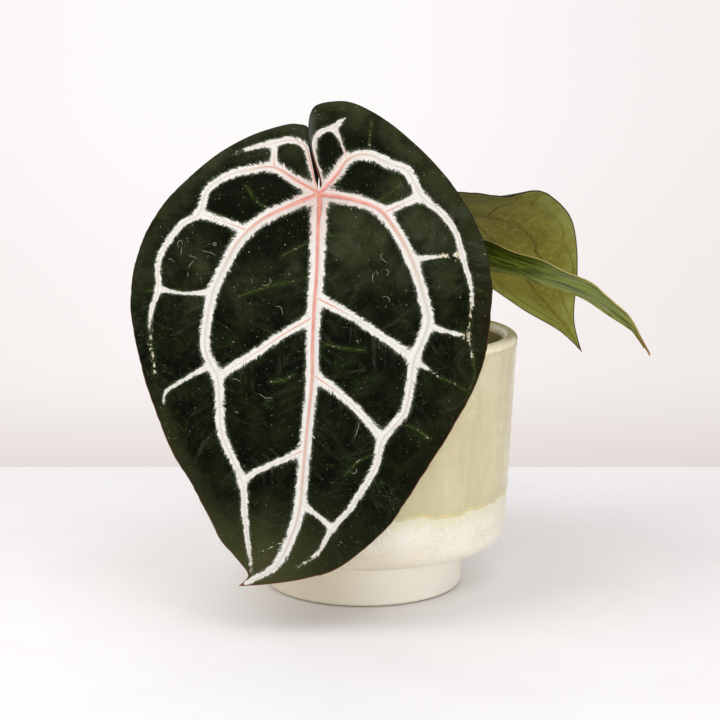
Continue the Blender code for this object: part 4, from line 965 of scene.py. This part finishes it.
def potProfile():
    # from the middle of the foot, up the outside, over the lip and down to the floor; 1 on the outside
    p = potSize
    foot, height, shoulder, lip = p["footRadius"], p["footHeight"], p["shoulderRadius"], p["lip"]
    outside = [(0.0, 0.0), (20.0, 0.0), (foot - 6, 0.0), (foot - 2.2, 0.0)]
    outside += arc((foot - 2.0, 2.0), 2.0, -90, 0, 8)[1:]
    outside += [(foot + 0.05 * k, 2 + (height - 3.6) * k / 10) for k in range(1, 11)]
    outside += arc((foot + 2.0, height - 1.6), 1.5, 180, 90, 5)[1:]
    outside += [(foot + 4, height + 0.05), (foot + 7, height + 0.3), (shoulder - 10.6, height + 0.6)]
    outside += arc((shoulder - 7.6, height + 8.4), 7.6, -112, 0, 22)
    wall = [(shoulder, height + 9), (63.7, 38), (64.0, 45), (64.9, 65), (66.2, 90), (67.0, 104),
            (67.3, 109.6)]
    outside += [tuple(q) for q in smoothPath(wall, 0.62)]
    outside += arc((p["rimRadius"] - lip, p["height"] - lip), lip, 4, 90, 10)
    inside = arc((p["rimRadius"] - lip, p["height"] - lip), lip, 99, 180, 9)
    thick = 2 * lip - p["wall"]
    inside += [(innerRadius(z) - thick * smoothStep((z - 96) / (109 - 96)), z)
               for z in np.arange(p["height"] - lip - 0.8, p["floorTop"] + 6, -1.6)]
    floor = p["floorTop"]
    inside += [(innerRadius(floor + 3) - 0.6, floor + 3), (innerRadius(floor) - 3, floor + 0.6),
               (innerRadius(floor) - 8, floor), (20.0, floor), (0.0, floor)]
    return [(r, z, 1.0) for r, z in outside] + [(r, z, 0.0) for r, z in inside]


def glazeEdgeHeight(angle):
    # the glaze ran down unevenly before it stiffened
    high = potSize["glazeEdge"]
    for waves, size, phase in potSize["glazeWaves"]:
        high = high + size * np.sin(waves * angle + phase)
    return high


def makePot(material):
    p = potSize
    sides = p["sides"]
    angles = ringAngles(sides)
    edge = glazeEdgeHeight(angles)
    farBelow, farAbove = -40.0, 60.0        # the middle of the foot and of the floor, and the glazed inside
    rings, points, gaps, outer, faces = [], [], [], [], []
    for r, z, outsideShare in potProfile():
        if r == 0:
            rings.append(np.full(sides, len(points)))
            points.append((0, 0, z))
            gaps.append(farBelow)
            outer.append(outsideShare)
            continue
        rings.append(np.arange(len(points), len(points) + sides))
        radius = np.full(sides, r)
        gap = np.full(sides, z) - edge if outsideShare else np.full(sides, farAbove)
        if outsideShare and z > p["footHeight"] + 2:
            body = smoothStep((z - p["footHeight"] - 2) / 6)
            turned = np.sin(z * 0.83 + 0.6 * np.sin(angles)) + 0.6 * np.sin(z * 0.31 + 2 * angles)
            radius = radius + body * p["throwing"] * turned
            radius = radius - (p["glazeThickness"] + p["wobble"]) * body
            radius = radius + p["wobble"] * body * np.sin(2 * angles + 0.8)
            radius = radius + p["glazeThickness"] * smoothStep((gap + 0.3) / 0.9)
            radius = radius + p["bead"] * np.exp(-((gap - 0.9) / 0.8) ** 2)
            radius = radius - p["grooveDepth"] * math.exp(-((z - p["grooveHeight"]) / 0.75) ** 2)
        points += list(zip(radius * np.cos(angles), radius * np.sin(angles), np.full(sides, z)))
        gaps += list(gap)
        outer += [outsideShare] * sides
    for low, high in zip(rings, rings[1:]):
        quads = ringQuads(low, high)
        if low[0] == low[1]:
            quads = quads[:, [0, 2, 3]]
        elif high[0] == high[1]:
            quads = quads[:, [0, 1, 2]]
        faces.append(quads)
    print(f"pot: {sum(len(f) for f in faces) * 2} triangles")
    return addPiece("glazedPot", points, faces, [material], {"glazeGap": gaps, "outer": outer})


potLook = {
    "celadon": "#d6cda3", "green": "#c5c197", "cream": "#ddd8b1", "pale": "#e1dfc6", "craze": "#ece6c6",
    "bead": "#e6d596", "lip": "#fcf5d6", "lipBack": "#90851c", "amber": "#cda765", "underLip": "#d6c083",
    "inside": "#7f794a", "slip": "#faf7ea", "slipWorn": "#dccfb2", "footSlipLit": "#fffcf0", "wash": "#e6e2bd",
    "speck": "#a08b66", "footEdge": "#a59a70", "leafShadow": "#d8cdb2", "crazeSize": 12.0,
}


def glazedStoneware(name, look):
    # Stoneware, wheel-thrown, dipped in celadon glaze over cream slip: a glossy pooled glaze over a satin,
    # speckled foot.
    uniform = {"IOR": 1.5, "Specular IOR Level": 0.5}
    material, add, shader, gap, outer = newMaterial(name, uniform, "glazeGap", "outer")
    inMm = add("scale", add("coordinates").outputs["Object"], 1000.0)
    spot = add("parts", inMm)
    y, high = spot.outputs["Y"], spot.outputs["Z"]

    # runs in the glaze, 4 to 12 mm wide and long down the wall, with finer threads between them
    runs = add("noise", add("stretch", inMm, (0.1, 0.1, 0.018)), 1.0, 4.0, 0.6, None, 0.8)
    glaze = add("blend", add("ramp", runs, 0.5, 0.7, 0.0, 0.6), look["celadon"], look["green"])
    glaze = add("blend", add("ramp", runs, 0.48, 0.32, 0.0, 0.7), glaze, look["cream"])
    threads = add("noise", add("stretch", inMm, (0.6, 0.6, 0.03)), 1.0, 3.0, 0.6)
    glaze = add("blend", add("ramp", threads, 0.5, 0.74, 0.0, 0.24), glaze, look["cream"])
    pools = add("noise", inMm, 0.06, 4.0, 0.6)
    paler = add("times", add("ramp", pools, 0.4, 0.62), add("ramp", high, 84.0, 106.0, 0.0, 0.8))
    glaze = add("blend", paler, glaze, look["pale"])
    greener = add("ramp", add("timesPlus", pools, 14.0, gap), 17.0, 7.0, 0.0, 0.5)
    glaze = add("blend", greener, glaze, look["green"])

    # crazing: a few hairlines, seen only in patches
    bend = add("noise", inMm, 0.1, 2.0, 0.6)
    bent = add("bend", bend.outputs["Color"], (26.0, 26.0, 26.0), inMm)
    cells = add("cells", bent, 1 / look["crazeSize"])
    craze = add("times", add("ramp", cells, 0.0, 0.02, 0.5, 0.0), add("ramp", bend, 0.42, 0.56, 0.1, 1.0))
    glaze = add("blend", craze, glaze, look["craze"])

    # the lip, where the glaze thins to cream in front and pools olive at the back, and the olive inside
    amber = add("noise", inMm, 0.15, 3.0, 0.6)
    atBack = add("ramp", add("timesPlus", amber, 44.0, y), 24.0, 56.0)
    lipTone = add("blend", atBack, look["lip"], look["lipBack"])
    streak = add("ramp", add("size", add("minus", amber, 0.53)), 0.0, 0.022, 0.7, 0.0)
    lipTone = add("blend", streak, lipTone, look["amber"])
    pooled = add("timesPlus", amber, 6.0, spot.outputs["X"])
    lipTone = add("blend", add("ramp", pooled, 67.4, 69.6, 0.0, 0.85), lipTone, look["lipBack"])
    glaze = add("blend", outer, look["inside"], glaze)
    glaze = add("blend", add("ramp", high, 108.4, 109.4), glaze, lipTone)
    underLip = add("times", add("ramp", add("size", add("minus", high, 108.7)), 0.1, 0.5, 0.6, 0.0), outer)
    glaze = add("blend", underLip, glaze, look["underLip"])
    beadSide = add("size", add("minus", gap, 0.5))
    beadLine = add("times", add("ramp", beadSide, 0.15, 1.0, 0.9, 0.0),
                   add("ramp", amber, 0.4, 0.55, 0.25, 1.0))
    glaze = add("blend", beadLine, glaze, look["bead"])

    # cream slip with worm tracks 1.5 mm wide, worn patches, and a few iron specks 0.3 mm
    worms = add("noise", inMm, 0.36, 3.0, 0.55, None, 2.6)
    track = add("ramp", add("size", add("minus", worms, 0.5)), 0.0, 0.05, 1.0, 0.1)
    worn = add("times", track, add("ramp", pools, 0.34, 0.58, 0.35, 1.0))
    # painted light: the foot drawn lighter, standing in for light under the shoulder
    base = add("blend", add("ramp", high, 24.0, 17.0, 0.0, 0.85), look["slip"], look["footSlipLit"])
    slip = add("blend", add("times", worn, add("ramp", high, 17.0, 24.0, 0.2, 1.0)), base, look["slipWorn"])
    wash = add("ramp", add("timesPlus", threads, -9.0, gap), -12.0, -4.5, 0.0, 0.75)
    slip = add("blend", wash, slip, look["wash"])
    dots = add("dots", inMm, 0.42)
    speck = add("times", add("ramp", dots.outputs["Distance"], 0.04, 0.11, 0.35, 0.0),
                add("above", dots.outputs["Color"], 0.85))
    slip = add("blend", speck, slip, look["speck"])
    # painted shadow: the leaf's shadow, drawn as darker slip at the front left, under the shoulder
    aside = add("plus", spot.outputs["X"], add("ramp", high, 18.0, 21.0, 0.0, -24.0))
    leafShadowed = add("times", add("ramp", aside, 26.0, -25.0, 0.0, 0.75), add("ramp", high, 36.0, 24.0))
    slip = add("blend", leafShadowed, slip, look["leafShadow"])
    slip = add("blend", add("ramp", high, 1.2, 0.3, 0.0, 0.6), slip, look["footEdge"])
    glazed = add("ramp", gap, -0.9, 0.3)
    join(add("blend", glazed, slip, glaze), shader.inputs["Base Color"])
    onLip = add("ramp", high, 107.0, 110.0, 0.15, 0.3)
    join(add("mix", glazed, 0.42, onLip), shader.inputs["Roughness"])
    join(add("bump", 0.12, 0.0004, None, worms), shader.inputs["Normal"])
    return material


seat(makePot(glazedStoneware("glazedStoneware", potLook)), ["pot"])
print("pot made")


# Potting mix, crown, stalks and roots

mixSize = {
    "seed": 11, "level": 95.0, "baseSunk": 1.2, "wallGap": 0.5, "bottom": 34.0, "sides": 144,
    "chunks": 165, "perlite": 80, "crumbs": 320,
    "chunk": (12.0, 8.0, 5.5), "grain": (1.3, 2.9), "crumb": (0.7, 1.7), "clearOfCrown": 11.5,
}


def boxBall(divisions):
    # a cube's surface, each side cut into squares, with its corners rounded a little
    n = divisions
    lookup, points, quads = {}, [], []
    for axis in range(3):
        for side in (-1, 1):
            for i in range(n):
                for j in range(n):
                    corners = []
                    for di, dj in ((0, 0), (1, 0), (1, 1), (0, 1)):
                        spot = [0, 0, 0]
                        spot[axis] = side * n
                        spot[(axis + 1) % 3] = 2 * (i + di) - n
                        spot[(axis + 2) % 3] = 2 * (j + dj) - n
                        key = tuple(spot)
                        if key not in lookup:
                            lookup[key] = len(points)
                            points.append(key)
                        corners.append(lookup[key])
                    quads.append(corners if side > 0 else corners[::-1])
    cube = np.array(points, float) / n
    length = (np.abs(cube) ** 4).sum(1) ** 0.25
    return cube / length[:, None], np.array(quads)


def turnMatrix(rng, tip):
    spin, lean, roll = rng.uniform(0, 2 * math.pi), rng.uniform(-tip, tip), rng.uniform(-tip, tip)
    cs, cl, cr = (math.cos(a) for a in (spin, lean, roll))
    ss, sl, sr = (math.sin(a) for a in (spin, lean, roll))
    aboutZ = np.array([[cs, -ss, 0], [ss, cs, 0], [0, 0, 1]])
    aboutX = np.array([[1, 0, 0], [0, cl, -sl], [0, sl, cl]])
    aboutY = np.array([[cr, 0, sr], [0, 1, 0], [-sr, 0, cr]])
    return aboutZ @ aboutX @ aboutY


def scatter(name, count, makeOne, material):
    # many small lumps in one mesh
    points, faces, shades, total = [], [], [], 0
    for k in range(count):
        lump, quads, shade = makeOne(k)
        points.append(lump)
        faces.append(quads + total)
        shades.append(np.full(len(lump), shade))
        total += len(lump)
    print(f"{name}: {sum(len(f) for f in faces) * 2} triangles")
    return addPiece(name, np.concatenate(points), faces, [material], {"shade": np.concatenate(shades)})


def makeMix(barkMaterial, stoneMaterial):
    m = mixSize
    rng = random.Random(m["seed"])
    sides = m["sides"]
    angles = ringAngles(sides)
    top = m["level"] - m["baseSunk"]
    profile = [(0.5, m["bottom"]), (innerRadius(m["bottom"]) - m["wallGap"], m["bottom"])]
    heights = np.linspace(m["bottom"] + 8, m["level"] - 2.0, 12)
    profile += [(innerRadius(z) - m["wallGap"], z) for z in heights]
    profile += [(r, top) for r in np.linspace(innerRadius(m["level"]) - 1.2, 1.0, 46)]
    points = []
    for r, z in profile:
        ring = np.column_stack([r * np.cos(angles), r * np.sin(angles), np.full(sides, z)])
        if z == top:
            ring[:, 2] += 0.9 * roughness3(ring, 0.22, 4.0) + 0.5 * roughness3(ring, 0.7, 8.0)
        points.append(ring)
    base = addPiece("mixBase", np.concatenate(points), stackFaces(len(profile), sides), [barkMaterial],
                    {"shade": np.zeros(len(profile) * sides)})
    chunkShape, chunkQuads = boxBall(5)
    smallShape, smallQuads = boxBall(3)
    golden = math.pi * (3 - math.sqrt(5))
    reachable = innerRadius(m["level"]) - m["wallGap"]

    def laid(lump, quads, r, angle, low, high):
        # a lump at its place on the mix, its faces and how light it is
        spot = (r * math.cos(angle), r * math.sin(angle), m["level"] + rng.uniform(low, high))
        return lump + spot, quads, rng.random()

    def chunk(k):
        size = np.array(m["chunk"]) * rng.uniform(0.5, 1.25)
        size = size * np.array([rng.uniform(0.8, 1.2) for _ in range(3)]) / 2
        reach = size[0] * 0.9
        inner = m["clearOfCrown"] + reach * 0.6
        r = inner + (reachable - reach - m["clearOfCrown"] - reach * 0.6) * math.sqrt((k + 0.5) / m["chunks"])
        angle = k * golden + rng.uniform(-0.2, 0.2)
        bumps = 1 + 0.16 * roughness3(chunkShape * 1.3, 1.0, k * 3.7)
        bumps = bumps + 0.09 * roughness3(chunkShape * 4, 1.0, k * 1.9)
        lump = (chunkShape * bumps[:, None] * size) @ turnMatrix(rng, 0.45).T
        return laid(lump, chunkQuads, r, angle, -0.8, 2.2)

    def grain(sizes, low, high, roughen):
        def makeOne(k):
            size = rng.uniform(*sizes)
            r = max(math.sqrt(rng.random()) * (reachable - size - 0.4), m["clearOfCrown"])
            angle = rng.uniform(0, 2 * math.pi)
            bumps = 1 + roughen * roughness3(smallShape * 1.4, 1.0, k * 2.3 + 50)
            lump = (smallShape * bumps[:, None] * size * (1, 0.85, 0.8)) @ turnMatrix(rng, 1.5).T
            return laid(lump, smallQuads, r, angle, low, high)
        return makeOne

    seat(base, ["potting_mix"])
    for name, count, makeOne, material in (
            ("barkChunks", m["chunks"], chunk, barkMaterial),
            ("barkCrumbs", m["crumbs"], grain(m["crumb"], 0.2, 3.4, 0.4), barkMaterial),
            ("perlite", m["perlite"], grain(m["grain"], 0.8, 4.2, 0.25), stoneMaterial)):
        seat(scatter(name, count, makeOne, material), ["potting_mix"])


barkLook = {"dark": "#2c1d14", "middle": "#553a28", "pale": "#8a664a"}


def pineBark(name, look):
    # Pine bark, broken and composted: dull brown layered flakes, each a little lighter or darker.
    material, add, shader, shade = newMaterial(
        name, {"Roughness": 0.85, "IOR": 1.45, "Specular IOR Level": 0.25}, "shade")
    inMm = add("scale", add("coordinates").outputs["Object"], 1000.0)
    grain = add("noise", add("stretch", inMm, (0.35, 0.35, 1.6)), 1.0, 5.0, 0.65, None, 0.6)
    light = add("slope", grain, 0.3, 0.7)
    tone = add("blend", light, look["dark"], look["middle"])
    paler = add("times", add("slope", shade, 0.35, 1.0, 0.0, 0.6), light)
    join(add("blend", paler, tone, look["pale"]), shader.inputs["Base Color"])
    join(add("bump", 0.7, 0.0005, None, grain), shader.inputs["Normal"])
    return material


def expandedPerlite(name):
    # Perlite, popped volcanic glass: chalk-white, full of tiny pores, a little dusty from the mix.
    material, add, shader = newMaterial(name, {"Roughness": 0.9, "IOR": 1.5, "Specular IOR Level": 0.25})
    pores = add("noise", add("coordinates").outputs["Object"], 900.0, 3.0, 0.7)
    join(add("blend", add("slope", pores, 0.4, 0.7), "#efece4", "#c9bfae"), shader.inputs["Base Color"])
    join(add("bump", 0.6, 0.0003, None, pores), shader.inputs["Normal"])
    return material


def makeTube(name, path, radii, material, sides, wrinkle):
    # a round stem along a path, closed at both ends
    tangents = unit(np.gradient(path, axis=0))
    across = Vector(tangents[0]).orthogonal().normalized()
    angles = ringAngles(sides)
    along = lengthsAlong(path)
    points, place = [], []
    for point, tangent, radius, s in zip(path, tangents, radii, along):
        t = Vector(tangent)
        across = (across - t * across.dot(t)).normalized()
        ring = np.outer(np.cos(angles), across) + np.outer(np.sin(angles), t.cross(across))
        where = np.column_stack([np.cos(angles) * 2.2, np.sin(angles) * 2.2, np.full(sides, s * 0.22)])
        points.append(point + ring * (radius + wrinkle * roughness3(where, 1.0, 2.0))[:, None])
        place.append(np.column_stack([np.full(sides, s), angles * radius, np.zeros(sides)]))
    attributes = {"stemPlace": np.concatenate(place), "stemShare": np.repeat(along / along[-1], sides)}
    return addPiece(name, np.concatenate(points), stackFaces(len(path), sides), [material], attributes)


stalkSize = {"radius": 1.9, "foot": 2.7, "footLength": 26.0, "joint": 2.5, "jointLength": 9.0,
             "jointLead": 3.0, "jointRise": 4.0, "underBlade": 1.85, "step": 1.0, "sides": 28,
             "wrinkle": 0.07}
rootSize = {"radius": 1.7, "thinning": 0.15, "step": 0.9, "sides": 22, "wrinkle": 0.14}
stalkRoutes = {
    "big": [(-4.0, -3.0, 92), (-4.6, -5.0, 108), (-7.4, -13, 130), (-11.4, -26, 153), (-15.2, -41, 168)],
    "back": [(0.6, 4.8, 92), (1.4, 6.0, 108), (6.4, 11.6, 126), (17.4, 20.0, 143), (28.2, 26.6, 154)],
    "side": [(4.5, -1.8, 92), (6.4, -2.0, 108), (16.6, -2.4, 121), (31.0, -2.8, 131), (42.0, -2.6, 137.6)],
}
rootRoutes = {
    "left": [(-5.5, 1.5, 101), (-11.5, 3.0, 103), (-18, 6.0, 101), (-22.5, 8.5, 96), (-24.5, 9.5, 89)],
    "back": [(-0.5, -6.5, 99), (1.5, -12.5, 101.5), (6.5, -18, 100), (10.5, -22, 95.5), (12, -23.5, 89)],
    "right": [(5.0, 4.6, 100), (9.5, 9.5, 102), (12, 16.5, 100.5), (13, 22, 96), (13, 24.5, 89)],
}


def makeStalk(name, route, form, material):
    s = stalkSize
    place, _, normal = (column[0] for column in form["frames"])
    top = place - normal * s["underBlade"]
    path = smoothPath(list(route) + [tuple(top - normal * s["jointLength"] * 0.55), tuple(top)], s["step"])
    lengths = lengthsAlong(path)
    radii = s["radius"] + (s["foot"] - s["radius"]) * smoothStep(1 - lengths / s["footLength"])
    intoJoint = lengths - lengths[-1] + s["jointLength"] + s["jointLead"]
    radii += (s["joint"] - s["radius"]) * smoothStep(intoJoint / s["jointRise"])
    piece = makeTube(f"{name}Stalk", path, radii, material, s["sides"], s["wrinkle"])
    return seat(piece, [f"{name}_stalk"])


stalkLook = {"green": "#7f8a45", "bronze": "#94683f", "foot": "#5f6a30", "fleck": "#c7c79a"}


def leafStalk(name, look):
    # Living leaf stalk: smooth, firm and semi-glossy, green flushed with bronze, with tiny pale flecks.
    material, add, shader, place, share = newMaterial(
        name, {"Roughness": 0.36, "IOR": 1.42, "Specular IOR Level": 0.45}, "stemPlace", "stemShare")
    streaks = add("noise", add("stretch", place, (0.12, 0.8, 1.0)), 1.0, 4.0, 0.6)
    tone = add("blend", add("slope", streaks, 0.42, 0.66, 0.0, 0.7), look["green"], look["bronze"])
    tone = add("blend", add("slope", share, 0.35, 0.0, 0.0, 0.7), tone, look["foot"])
    tone = add("blend", add("slope", share, 0.84, 0.93, 0.0, 0.55), tone, look["bronze"])
    dots = add("dots", add("stretch", place, (0.45, 1.1, 1.0)), 1.0)
    fleck = add("slope", dots.outputs["Distance"], 0.08, 0.2, 0.5, 0.0)
    join(add("blend", fleck, tone, look["fleck"]), shader.inputs["Base Color"])
    join(add("bump", 0.25, 0.0003, None, streaks), shader.inputs["Normal"])
    return material


def aerialRoot(name):
    # Aerial root skin, velamen: dry, papery and silver-tan with brown scuffs.
    material, add, shader, place = newMaterial(
        name, {"Roughness": 0.8, "IOR": 1.4, "Specular IOR Level": 0.25}, "stemPlace")
    scuffs = add("noise", add("stretch", place, (0.25, 0.9, 1.0)), 1.0, 5.0, 0.65)
    join(add("blend", add("slope", scuffs, 0.38, 0.66), "#c2b090", "#7d6242"), shader.inputs["Base Color"])
    join(add("bump", 0.6, 0.0004, None, scuffs), shader.inputs["Normal"])
    return material


crownSize = {
    "radius": 9.4, "bottom": 86.0, "shoulder": 103.0, "dome": 5.0, "sides": 96, "scars": 5, "scarDepth": 0.45,
    "sheaths": 6, "sheathFoot": 95.0, "sheathTop": 104.5, "sheathThickness": 0.28, "sheathGrid": (14, 15),
    "seed": 5,
}


def makeCrown(material):
    # ringed by old leaf scars; the dry sheaths folded against it are made by makeSheaths
    c = crownSize
    sides, neck = c["sides"], c["radius"] - 0.6
    angles = ringAngles(sides)
    profile = [(neck, z) for z in np.linspace(c["bottom"], c["shoulder"], 44)]
    profile += [(neck - 8.2 * smoothStep(t) ** 0.9, c["shoulder"] + c["dome"] * math.sin(t * math.pi / 2))
                for t in np.linspace(0.06, 1, 16)]
    scarsApart = (c["shoulder"] - c["bottom"]) / c["scars"]
    points = []
    for r, z in profile:
        ring = np.column_stack([np.cos(angles), np.sin(angles), np.full(sides, z * 0.16)])
        high = z - c["bottom"] + 1.2 * np.sin(angles + z * 0.1)
        scar = c["scarDepth"] * np.sin(2 * math.pi * high / scarsApart)
        bumps = 0.35 * roughness3(ring * (2.0, 2.0, 1.0), 1.0, 5.0)
        bumps = bumps + 0.16 * roughness3(ring * (7, 7, 6), 1.0, 6.0)
        radius = r + (np.maximum(scar, -0.2) + bumps - 0.1) * min(1, r / 6)
        points.append(np.column_stack([radius * np.cos(angles), radius * np.sin(angles), np.full(sides, z)]))
    crown = addPiece("ringedCrown", np.concatenate(points), stackFaces(len(profile), sides), [material])
    return seat(crown, ["crown"])


def makeSheaths(material):
    # thin dry scales, each wrapped part of the way round the crown and open at the top
    c = crownSize
    rng = random.Random(c["seed"])
    rows, columns = c["sheathGrid"]
    points, faces = [], []
    for k in range(c["sheaths"]):
        middle, span = k * 2 * math.pi / c["sheaths"] + rng.uniform(-0.2, 0.2), rng.uniform(0.45, 0.75)
        low, high = c["sheathFoot"] + rng.uniform(0, 3), c["sheathTop"] + rng.uniform(0, 2.6)
        faces += sheetFaces(rows, columns, len(points))
        for thickness in (0.0, c["sheathThickness"]):
            for t in (i / (rows - 1) for i in range(rows)):
                z = low + (high - low) * t
                width = span * (1 - 0.75 * t ** 2.2)
                bow = 0.5 + 0.7 * math.sin(math.pi * t * 0.6) - 1.9 * max(0.0, t - 0.62)
                for j in range(columns):
                    a = middle + width * (2 * j / (columns - 1) - 1)
                    r = c["radius"] + bow + 0.15 * k - thickness + 0.12 * noise.noise((a * 4, z * 0.6, k))
                    points.append((r * math.cos(a), r * math.sin(a), z))
    return seat(addPiece("sheaths", points, faces, [material]), ["crown"])


def dryStem(name, pale, dark):
    # Old stem skin and dry leaf sheath: corky, fibrous and matt, straw to brown.
    material, add, shader = newMaterial(name, {"Roughness": 0.85, "IOR": 1.45, "Specular IOR Level": 0.25})
    drawnOut = add("stretch", add("coordinates").outputs["Object"], (900.0, 900.0, 260.0))
    fibres = add("noise", drawnOut, 1.0, 5.0, 0.65)
    join(add("blend", add("slope", fibres, 0.35, 0.68), pale, dark), shader.inputs["Base Color"])
    join(add("bump", 0.7, 0.0004, None, fibres), shader.inputs["Normal"])
    return material


makeMix(pineBark("pineBark", barkLook), expandedPerlite("expandedPerlite"))
makeCrown(dryStem("corkyStem", "#8b8a52", "#5d4a2c"))
makeSheaths(dryStem("drySheath", "#a98a5a", "#6b4d2c"))
stalkSkin = leafStalk("leafStalk", stalkLook)
for stalkName, stalkRoute in stalkRoutes.items():
    makeStalk(stalkName, stalkRoute, forms[stalkName], stalkSkin)
rootSkin = aerialRoot("aerialRoot")
for rootName, rootRoute in rootRoutes.items():
    rootPath = smoothPath(rootRoute, rootSize["step"])
    rootRadii = rootSize["radius"] * (1 - rootSize["thinning"] * np.linspace(0, 1, len(rootPath)))
    root = makeTube(f"{rootName}Root", rootPath, rootRadii, rootSkin, rootSize["sides"], rootSize["wrinkle"])
    seat(root, [f"root_{rootName}"])
print("mix, crown, stalks and roots made")


# Stage, light and camera

stageSize = {"tableBack": 217.0, "tableFront": -1500.0, "tableSide": 1500.0, "thickness": 22.0}


def paintedBoard(name):
    # Painted board, sprayed and rubbed down: almost white, matt, very faintly clouded.
    material, add, shader = newMaterial(name, {"Roughness": 0.55, "Specular IOR Level": 0.3})
    where = add("coordinates").outputs["Object"]
    cloud = add("noise", where, 9.0, 5.0, 0.65)
    away = add("parts", where).outputs["Y"]
    # painted light: the board drawn lighter towards the front, where more light falls
    paint = add("blend", add("ramp", away, 0.2, -0.15), "#ebebed", "#f0f0f3")
    paint = add("blend", add("ramp", cloud, 0.35, 0.65, 0.0, 0.3), paint, "#e3e1e4")
    join(paint, shader.inputs["Base Color"])
    return material


def makeTable():
    s = stageSize
    x, front, back, low = s["tableSide"], s["tableFront"], s["tableBack"], -s["thickness"]
    outline = ((-x, front), (x, front), (x, back), (-x, back))
    points = [(px, py, pz) for pz in (low, 0.0) for px, py in outline]
    faces = np.array([(3, 2, 1, 0), (4, 5, 6, 7), (0, 1, 5, 4), (1, 2, 6, 5), (2, 3, 7, 6), (3, 0, 4, 7)])
    table = addPiece("tableTop", points, [faces], [paintedBoard("paintedBoard")])
    table.data.shade_flat()


lightLook = {
    "wallTop": "#fefbfb", "wallMiddle": "#faf5f4", "wallLow": "#e2d9d4", "wallSide": "#d5ccc6",
    "room": "#8d857a", "strength": 1.0, "target": (0.0, 0.0, 0.08),
    "lamps": {          # in metres and watts
        "key": {"place": (-0.8, -0.75, 1.25), "size": 0.9, "power": 7.0},
        "top": {"place": (0.3, -0.95, 1.3), "size": 0.7, "power": 4.5},
        "fill": {"place": (0.2, -1.3, 0.3), "size": 0.9, "power": 3.2},
    },
}


def makeLight():
    look = lightLook
    scene = bpy.context.scene
    world = bpy.data.worlds.new("studio")
    scene.world = world
    world.use_nodes = True
    add = partial(addNode, world.node_tree)
    spot = add("parts", add("coordinates").outputs["Generated"])
    across, behind, up = (spot.outputs[axis] for axis in "XYZ")
    colour = add("blend", add("ramp", up, -0.25, -0.165), look["wallLow"], look["wallMiddle"])
    colour = add("blend", add("ramp", up, -0.18, -0.02), colour, look["wallTop"])
    aside = add("size", add("plus", across, 0.06))
    colour = add("blend", add("ramp", aside, 0.03, 0.3, 0.0, 0.29), colour, look["wallSide"])
    colour = add("blend", add("ramp", across, 0.3, 0.85, 0.0, 0.3), colour, look["room"])  # darker there
    colour = add("blend", add("ramp", behind, 0.0, -0.7, 0.0, 0.35), colour, look["room"])
    background = world.node_tree.nodes["Background"]
    background.inputs["Strength"].default_value = look["strength"]
    join(colour, background.inputs["Color"])
    for name, lamp in look["lamps"].items():
        light = bpy.data.lights.new(name, "AREA")
        light.shape = "DISK"
        light.size = lamp["size"]
        light.energy = lamp["power"]
        placed = bpy.data.objects.new(name, light)
        placed.location = lamp["place"]
        placed.rotation_euler = (Vector(look["target"]) - placed.location).to_track_quat("-Z", "Y").to_euler()
        scene.collection.objects.link(placed)
    scene.view_settings.view_transform = "Standard"
    scene.view_settings.look = "None"


cameraLook = {"place": (-0.0015, -0.779, 0.2347), "down": 9.86, "lens": 90.0}


def makeCamera():
    data = bpy.data.cameras.new("camera")
    data.lens = cameraLook["lens"]
    data.sensor_width = 36.0
    camera = bpy.data.objects.new("camera", data)
    camera.location = cameraLook["place"]
    camera.rotation_euler = (math.radians(90 - cameraLook["down"]), 0, 0)
    bpy.context.scene.collection.objects.link(camera)
    bpy.context.scene.camera = camera


makeTable()
makeLight()
makeCamera()
print("stage, light and camera made")
